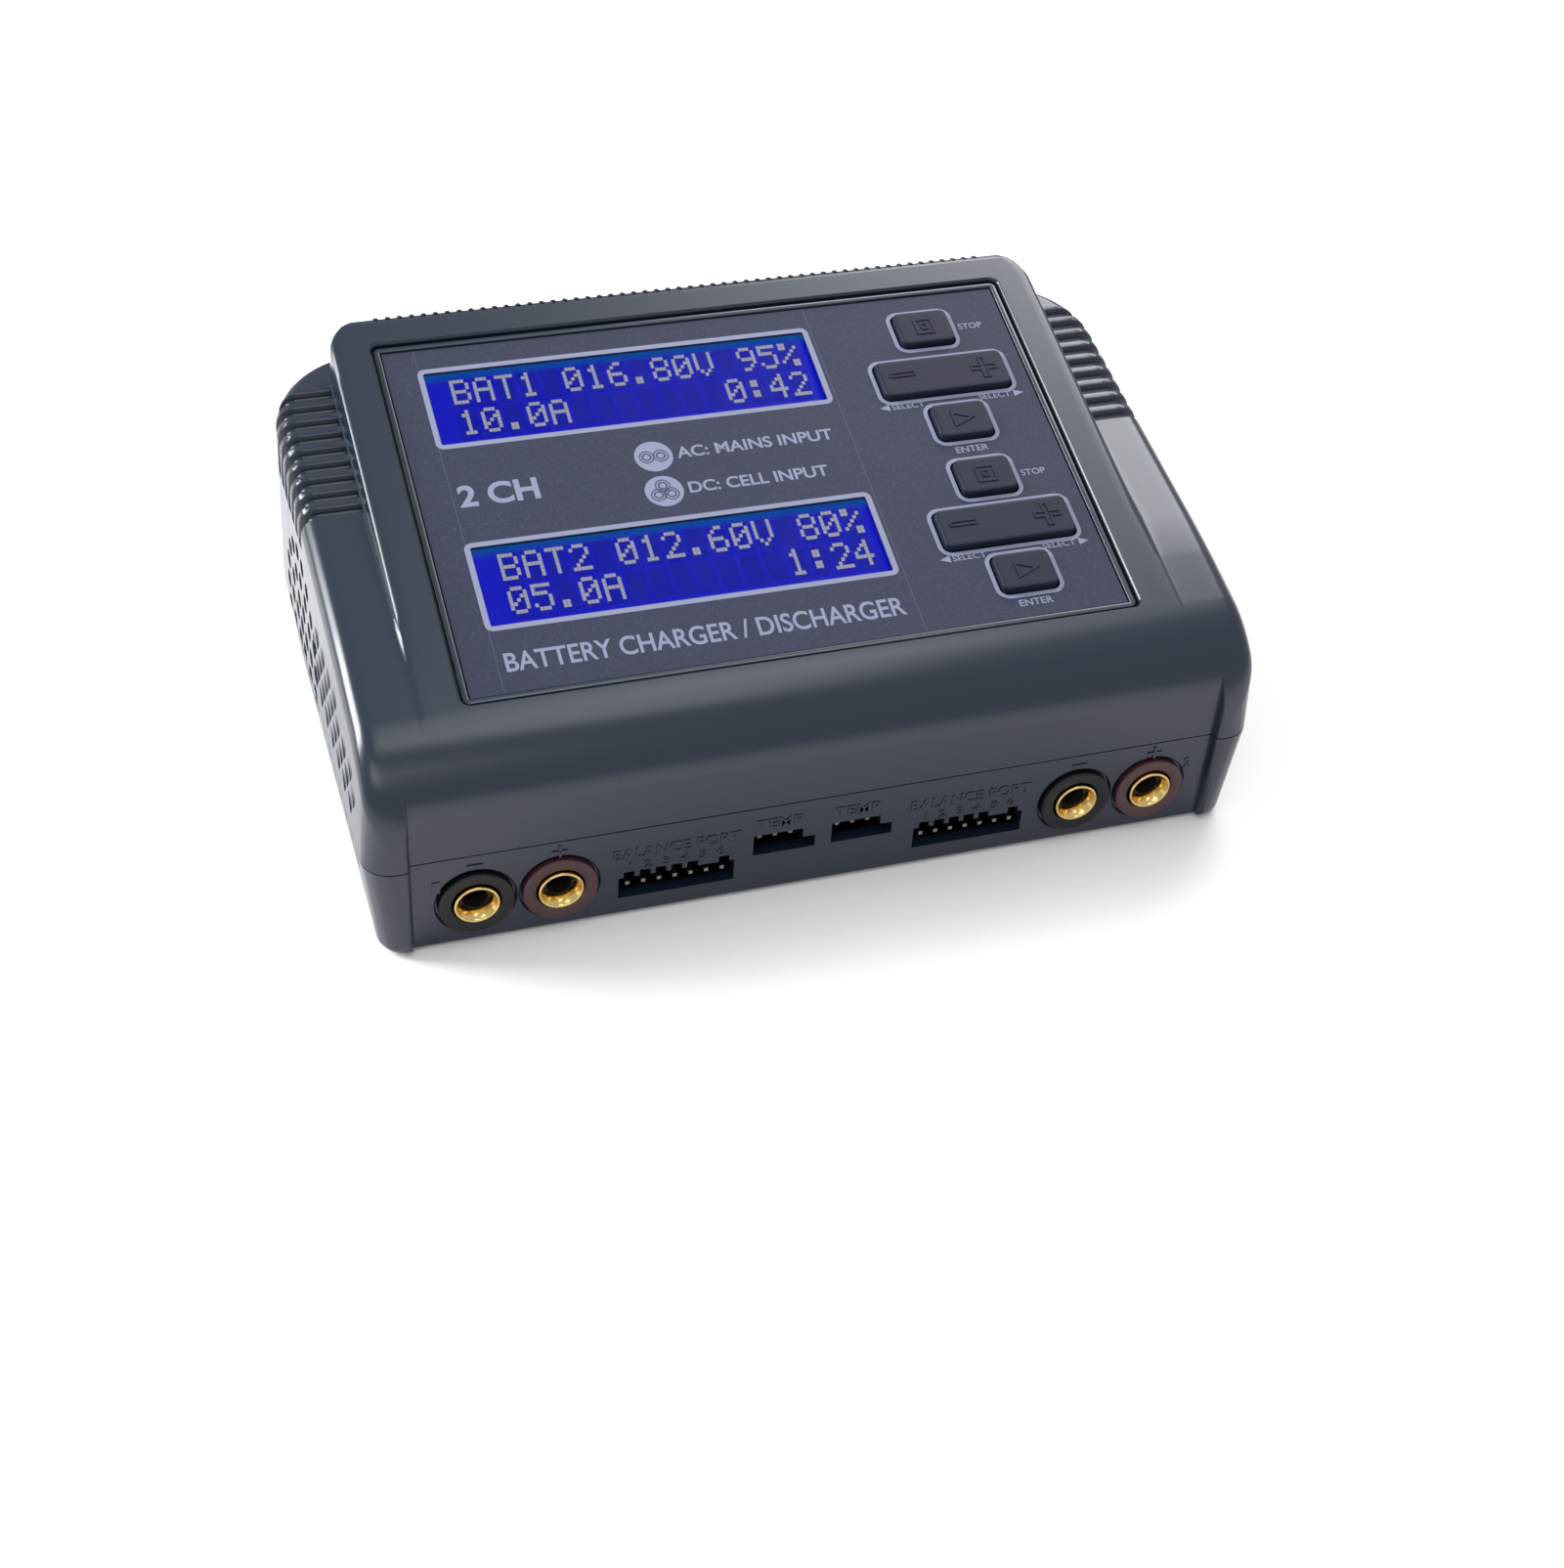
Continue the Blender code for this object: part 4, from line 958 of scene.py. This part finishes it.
for channel in (1, 2):
    stop, rocker, enter = (key_cap(f"{kind}_key_{channel}")[0] for kind in ("stop", "rocker", "enter"))
    for sign, text, (x, w), right, up, height, width in (
            ("stop", "STOP", stop, 8.4, 0.0, 1.25, 4.2),
            ("enter", "ENTER", enter, 0.0, -5.7, 1.25, 5.6),
            ("left", "SELECT", rocker, -7.7, -5.3, 1.1, 5.6),
            ("right", "SELECT", rocker, 7.5, -5.3, 1.1, 5.6)):
        place = on_label(x + right, w + up)
        words(f"{sign}_word_{channel}", text, place, height, width, print_ink, bold=0.012)
for name, text, (x, w), height, width, bold in (
        ("title", "BATTERY CHARGER / DISCHARGER", (-14.6, -28.9), 3.5, 62.5, 0.015),
        ("channels_word", "2 CH", (-39.8, 3.3), 4.4, 12.6, 0.03),
        ("mains_word", "AC: MAINS INPUT", (2.6, 6.8), 2.3, 26.0, 0.02),
        ("supply_word", "DC: CELL INPUT", (1.2, -0.5), 2.3, 23.0, 0.02)):
    words(name, text, on_label(x, w), height, width, print_ink, bold=bold)

# %% Printed discs and arrows
signs, lines = Form(PANEL), Form(PANEL)
TWO_PINS, THREE_PINS = ((-1.15, 0.0), (1.15, 0.0)), ((-1.05, -0.65), (1.05, -0.65), (0, 1.1))
for (x, w), pins in (((-14.2, 6.6), TWO_PINS), ((-14.3, -0.6), THREE_PINS)):
    signs.slab(arc((x, w), 3.1, 0, 350, 35), INK_LOW, INK_HIGH)
    for a, b in pins:
        for radius, width in ((0.8, 0.28), (1.25, 0.2)):
            circle = arc((x + a, w + b), radius, 0, 345, 23)
            lines.line(circle, width, INK_HIGH, INK_HIGH + 0.02)
for channel in (1, 2):
    (x, w), _ = key_cap(f"rocker_key_{channel}")
    for side in (-1, 1):
        tip = x + side * 12.6
        arrow = [(tip, w - 5.3), (tip - side * 1.7, w - 4.6), (tip - side * 1.7, w - 6.0)]
        signs.slab(arrow, INK_LOW, INK_HIGH)
for x in (-47.1, 18.5):
    lines.slab(oblong(x, -34.2, x + 0.14, 34.2), INK_LOW, LABEL_TOP + 0.01)
signs.piece("printed_signs", print_ink)
lines.piece("printed_lines", dark_ink)

# %% [markdown]
# ## Displays
# Each display is a blue backlit liquid crystal glass with sixteen characters in two rows. A character is
# a block of five by seven small dots, so it is built dot by dot from its pattern. The glass glows evenly,
# with a paler strip painted into its glow along its upper edge, as painted light for the lit wall of the
# window there. Dots and glass both emit light.


# %% Display glass and dots
UP_SLOPE = (0, math.cos(TILT), math.sin(TILT))
PAINTED_EDGE_WIDTH = 1.8 * MM


def glow(name, colour, strength, far=None, edge=0.0):
    """A glossy surface that also gives off light; far is the colour of a paler strip painted at the panel's
    upper edge.
    """
    made = surface(name, colour, 0.35, grain=4.0, relief=0.001, drift=0.02, shine=0.06)
    tree = made.node_tree
    shader = tree.nodes["Principled BSDF"]
    shader.inputs["Emission Strength"].default_value = strength
    for link in list(shader.inputs["Base Color"].links):
        tree.links.remove(link)
    shader.inputs["Base Color"].default_value = linear("#020410")
    shader.inputs["Emission Color"].default_value = linear(colour)
    # A paler strip painted along the upper edge stands in for the lit wall of the window there.
    if far:
        place = add(tree, "TexCoord").outputs["Object"]
        across = add(tree, "VectorMath", {0: place, 1: UP_SLOPE}, operation="DOT_PRODUCT").outputs["Value"]
        painted_edge_fade = add(tree, "MapRange", {"Value": across, "From Min": edge - PAINTED_EDGE_WIDTH, "From Max": edge})
        tint = add(tree, "Mix", {"Factor": painted_edge_fade.outputs["Result"], 6: linear(colour), 7: linear(far)},
                   data_type="RGBA")
        tree.links.new(tint.outputs[2], shader.inputs["Emission Color"])
    return made


GLYPHS = {
    "A": "01110 10001 10001 11111 10001 10001 10001", "B": "11110 10001 10001 11110 10001 10001 11110",
    "T": "11111 00100 00100 00100 00100 00100 00100", "V": "10001 10001 10001 10001 10001 01010 00100",
    "0": "01110 10001 10011 10101 11001 10001 01110", "1": "00100 01100 00100 00100 00100 00100 01110",
    "2": "01110 10001 00001 00010 00100 01000 11111", "4": "00010 00110 01010 10010 11111 00010 00010",
    "5": "11111 10000 11110 00001 00001 10001 01110", "6": "00110 01000 10000 11110 10001 10001 01110",
    "8": "01110 10001 10001 01110 10001 10001 01110", "9": "01110 10001 10001 01111 00001 00010 01100",
    "%": "11000 11001 00010 00100 01000 10011 00011", ".": "00000 00000 00000 00000 00000 01100 01100",
    ":": "00000 01100 01100 00000 01100 01100 00000",
}
READINGS = {1: ("BAT1 016.80V 95%", "10.0A       0:42"), 2: ("BAT2 012.60V 80%", "05.0A       1:24")}
DOT_X, DOT_W, CHARACTER_PITCH = 0.6, 0.74, 3.66
ROW_RISES = (3.7, -2.8)
SCREEN = -1.75
lcd_dot = glow("lcd_dot", "#abafb6", 0.8)
lcd_cell = glow("lcd_cell", "#0006a6", 0.85)

for channel, (x, w) in displays.items():
    edge = (PANEL @ Vector((x, w + LCD_VIEW[1] / 2, SCREEN))).dot(Vector(UP_SLOPE)) * MM
    # 0a4c9a is the paler glow painted along the upper edge, for the lit wall of the window.
    lcd_glass = glow(f"lcd_glass_{channel}", "#0004c4", 0.85, "#0a4c9a", edge)
    levels = ((-6.9, 2.7), (-2.31, 2.7), (-2.3, 0), (SCREEN, 0))
    glass = Form(PANEL).pad((x, w), (64.0, 15.7), 0.2, levels)
    glass.piece(f"display_glass_{channel}", lcd_glass, replaces=[f"lcd_glass_{channel}"], slot="lcd_blue")
    cells, dots = Form(PANEL), Form(PANEL)
    for row, text in enumerate(READINGS[channel]):
        for column, character in enumerate(text):
            left = x + (column - 8) * CHARACTER_PITCH + 1.4
            top = w + ROW_RISES[row] + 3.5 * DOT_W
            cell = oblong(left - 0.08, top + 0.1, left + 5 * DOT_X + 0.02, top - 8 * DOT_W)
            cells.slab(cell, SCREEN, SCREEN + 0.01)
            for i, line in enumerate(GLYPHS.get(character, "").split()):
                for j, lit in enumerate(line):
                    if lit == "1":
                        a, b = left + j * DOT_X, top - i * DOT_W
                        dot = oblong(a, b, a + DOT_X * 0.9, b - DOT_W * 0.9)
                        dots.slab(dot, SCREEN + 0.012, SCREEN + 0.03)
    cells.piece(f"display_cells_{channel}", lcd_cell)
    dots.piece(f"display_dots_{channel}", lcd_dot)
    print("display", channel, READINGS[channel])

# %% [markdown]
# ## Keys
# A key cap is a moulded block with round corners and a soft top edge, and its sign stands up from it as a
# thin raised outline. Each key's cap and sign ride on the key's own body, so they travel together.


# %% Key caps
def key(name):
    middle, size = key_cap(name)
    low, top = -5.0, max(on_panel(v.co).z for v in nodes[name].data.vertices) - 0.14
    levels = [(low, 0), (top - 0.4, 0)]
    levels += [(top - 0.25 + 0.25 * math.sin(turn), -0.1 - 0.25 * (1 - math.cos(turn)))
               for turn in (0.0, 0.5, 1.0, math.pi / 2)] + [(top, -0.8)]
    cap = Form(PANEL).pad(middle, size, 1.1, levels)
    foot = -4.2 if name.startswith("rocker") else -3.7
    cap.pad(middle, (size[0] + 2.2, size[1] + 1.0), 0.8, ((foot - 0.8, 0), (foot - 0.1, 0), (foot, -0.1)))
    cap.piece(name + "_cap", key_abs, name, [name], "key_plastic", 40)
    raised = Form(PANEL)
    (x, w), level = middle, (top - 0.2, top + 0.14)
    if name.startswith("stop"):
        raised.line(rounded((x, w), (3.4, 3.4), 0.3), 0.4, *level)
        raised.line(rounded((x, w), (1.4, 1.4), 0.2), 0.3, *level)
    elif name.startswith("enter"):
        raised.line([(x - 1.7, w - 1.7), (x + 2.2, w), (x - 1.7, w + 1.7)], 0.4, *level)
    else:
        raised.line(rounded((x - 7.0, w + 0.6), (4.7, 1.1), 0.2), 0.3, *level)
        raised.line(cross((x + 7.2, w + 0.2), 0.6, 2.3), 0.3, *level)
    raised.piece(name + "_sign", key_abs, name)


for name in KEYS:
    key(name)
print("keys", len(KEYS))

# %% [markdown]
# ## Output sockets
# Each output is a 4 mm socket: a gold plated tube with a funnel mouth in a flanged nylon sleeve. Turning
# gives both their shape, and the rim of the tube is rolled a little proud of the sleeve.

# %% Output sockets
RIM = arc((3.27, -0.86), 0.23, 0, -180, 6)
FLANGE = [(3.8, -0.55), (4.1, -0.75)] + arc((5.45, -0.45), 0.35, 250, 360, 5)
SLEEVE = FLANGE + [(5.8, 0.3), (4.3, 0.3), (4.3, 8.5), (3.8, 8.5)]
TUBE = [(3.5, 12.0)] + RIM + [(2.95, -0.75), (2.1, 0.55), (2.1, 12.0)]
# A thin liner inside the tube past the funnel, painted nearly black as painted shade in the deep bore.
BORE_SHADE_LINER = [(2.08, 0.62), (1.98, 0.62), (1.98, 9.5), (0, 9.6), (0, 11.9), (2.08, 11.9)]

for node in OUTPUTS:
    middle, _ = middle_of(node)
    nylon, colour = (red_nylon, "red_nylon") if "plus" in node else (black_nylon, "black_nylon")
    for part, profile, steps, finish, hidden, slot in (
            ("sleeve", SLEEVE, 72, nylon, [node.replace("contact", "sleeve")], colour),
            ("contact", TUBE, 72, gold_plate, [node], "gold_plate"),
            ("bore", BORE_SHADE_LINER, 48, painted_shade_brass, [], "gold_plate")):
        form = Form().turned(profile, (middle.x, FACE, middle.z), steps=steps)
        form.piece(node.replace("contact", "socket_" + part), finish, replaces=hidden, slot=slot, sharp=40)
print("output sockets", len(OUTPUTS))

# %% [markdown]
# ## Inlets
# The mains inlet has a cavity whose upper corners are cut off, so that its plug goes in one way only. The
# low voltage inlet does the same with the two corners at its rear end. Both are moulded cups, so one skin
# does for each: it runs up the outside, over a soft lip and down the cavity to its floor.


# %% Inlet cups
def cornered(middle, size, cuts, grow=0.0, steps=6):
    """A rectangle with its corners cut off, with as many points as a rounded one."""
    (x, y), wide, tall = middle, size[0] / 2 + grow, size[1] / 2 + grow
    points = []
    for (a, b), cut in zip(((1, 1), (-1, 1), (-1, -1), (1, -1)), cuts):
        start, end = (x + a * wide, y + b * (tall - cut)), (x + a * (wide - cut), y + b * tall)
        if a != b:
            start, end = end, start
        points += [tuple(p + (q - p) * i / steps for p, q in zip(start, end)) for i in range(steps + 1)]
    return points


def inlet(node, material, slot, rim, floor_at, cuts):
    middle, size = middle_of(node)
    at, face, back = (middle.y, middle.z), middle.x + size.x / 2, middle.x - size.x / 2
    cavity = (size.y - 2 * rim, size.z - 2 * rim)
    outside = ((back, -0.3), (back + 0.3, 0.0), (face - 0.5, 0.0), (face - 0.15, -0.1), (face, -0.4))
    inside = ((face, 0.35), (face - 0.12, 0.12), (face - 0.5, 0.0), (back + floor_at, 0.0))
    sections = [[(x, y, z) for y, z in rounded(at, (size.y, size.z), 1.5, grow)] for x, grow in outside]
    sections += [[(x, y, z) for y, z in cornered(at, cavity, cuts, grow)] for x, grow in inside]
    Form().skin(sections).piece(node + "_cup", material, replaces=[node], slot=slot, sharp=35)


inlet("ac_inlet", black_nylon, "black_nylon", 2.3, 4.0, (3.4, 3.4, 0.5, 0.5))
inlet("dc_inlet", yellow_nylon, "yellow_nylon", 1.1, 4.0, (1.9, 0.3, 0.3, 1.9))

# %% [markdown]
# ## Feet and case screws
# Four rubber feet are glued into seats in the floor, each a disc with a soft edge and a shallow dish. The
# screws are pan heads with a cross recess, deep in their counterbores. The recess is one plus-shaped cutter
# that narrows as it goes in, as the punch that forms it does.

# %% Feet and screws
SOLE = [(0, 0.3), (2.4, 0.26), (2.8, 0.06), (3.1, 0.0), (4.3, 0.0)] + arc((4.4, 0.6), 0.6, -80, 0, 5)
SOLE += [(5.0, BASE + 0.4), (0, BASE + 0.4)]
PAN_HEAD = [(0, 0), (1.6, 0.05), (2.2, 0.3), (2.6, 0.9), (2.6, 2.3), (1.4, 2.3)]
THREADS, THREAD_PITCH = 19, 1.15

for corner in CORNERS:
    node = f"rubber_foot_{corner}"
    middle, _ = middle_of(node)
    sole = Form().turned(SOLE, (middle.x, middle.y, 0), "Z")
    sole.piece(node + "_sole", foot_rubber, replaces=[node], slot="foot_rubber")
    node = f"case_screw_{corner}"
    middle, size = middle_of(node)
    low, high = middle.z - size.z / 2, middle.z + size.z / 2
    shape = [(radius, low + rise) for radius, rise in PAN_HEAD]
    for i in range(THREADS):
        shape += [(1.4, low + 3.0 + i * THREAD_PITCH), (1.15, low + 3.5 + i * THREAD_PITCH)]
    screw = Form().turned(shape + [(0, high)], (middle.x, middle.y, 0), "Z", 24)
    screw = screw.piece(node + "_pan", zinc_steel, replaces=[node], slot="screw_steel")
    punch = [[(x, y, level) for x, y in cross((middle.x, middle.y), near, far)]
             for level, near, far in ((low - 1, 0.5, 1.7), (low + 0.2, 0.42, 1.45), (low + 1.5, 0.3, 0.7))]
    carve(screw, Form().skin(punch))
print("feet, screws and inlets made")

# %% [markdown]
# The front face keeps only generic signs: a channel number at each end, minus and plus over the sockets
# and plain words over the small ports. They are moulded, so they stand a tenth or two of a millimetre out of
# the face in the case's own plastic, and only their edges show.

# %% Moulded signs on the front
def on_front(x, z):
    return Matrix.Translation((x, FACE, z)) @ Matrix.Rotation(math.pi / 2, 4, "X")


front_signs = Form(on_front(0, 0))
for node in OUTPUTS:
    middle, _ = middle_of(node)
    x, z = middle.x, middle.z + 7.2
    front_signs.slab(oblong(x - 1.2, z - 0.2, x + 1.2, z + 0.2), -0.05, 0.2)
    if "plus" in node:
        front_signs.slab(oblong(x - 0.2, z - 1.2, x + 0.2, z + 1.2), -0.05, 0.2)
front_signs.piece("front_signs", case_abs)

for channel, end in ((1, -60.6), (2, 61.0)):
    balance, _ = middle_of(f"balance_{channel}_pins")
    temperature, _ = middle_of(f"temp_{channel}_pins")
    for name, text, x, z, height, width, bold in (
            ("balance_word", "BALANCE PORT", balance.x, balance.z + 6.9, 2.0, 20.0, 0.01),
            ("cells_word", "1  2  3  4  5  6", balance.x, balance.z + 4.3, 1.4, 15.0, 0.01),
            ("temp_word", "TEMP", temperature.x, temperature.z + 4.2, 1.9, 7.4, 0.01),
            ("channel_number", str(channel), end, BASE + 11.5, 2.2, 1.2, 0.02)):
        words(f"{name}_{channel}", text, on_front(x, z), height, width, case_abs, 0.28, bold)

# %% [markdown]
# ## What the frame already shapes well
# Headers, pins, boards and the parts on them are boxes and rods in life too, so the frame's solids stay and
# only take their materials.

# %% Materials for the frame's own nodes
FINISHES = {
    "case_abs": case_abs, "label_film": case_abs, "clear_film": window_film,
    "black_steel": black_steel, "lcd_blue": black_nylon, "circuit_board": board_lacquer,
    "key_plastic": key_abs, "black_nylon": black_nylon, "red_nylon": red_nylon,
    "yellow_nylon": yellow_nylon, "gold_plate": gold_plate, "tinned_pins": tin_plate,
    "ferrite": sintered_ferrite, "yellow_tape": polyester_tape, "capacitor_sleeve": shrink_sleeve,
    "copper_wire": enamelled_copper, "aluminium": extruded_aluminium, "fuse_glass": fuse_glass,
    "screw_steel": zinc_steel, "foot_rubber": foot_rubber,
}
for part in frame["record"]["subparts"]:
    data = nodes[part["node"]].data
    data.materials.clear()
    data.materials.append(FINISHES[part["material_slot"]])
    data.shade_smooth()
    data.set_sharp_from_angle(angle=math.radians(35))
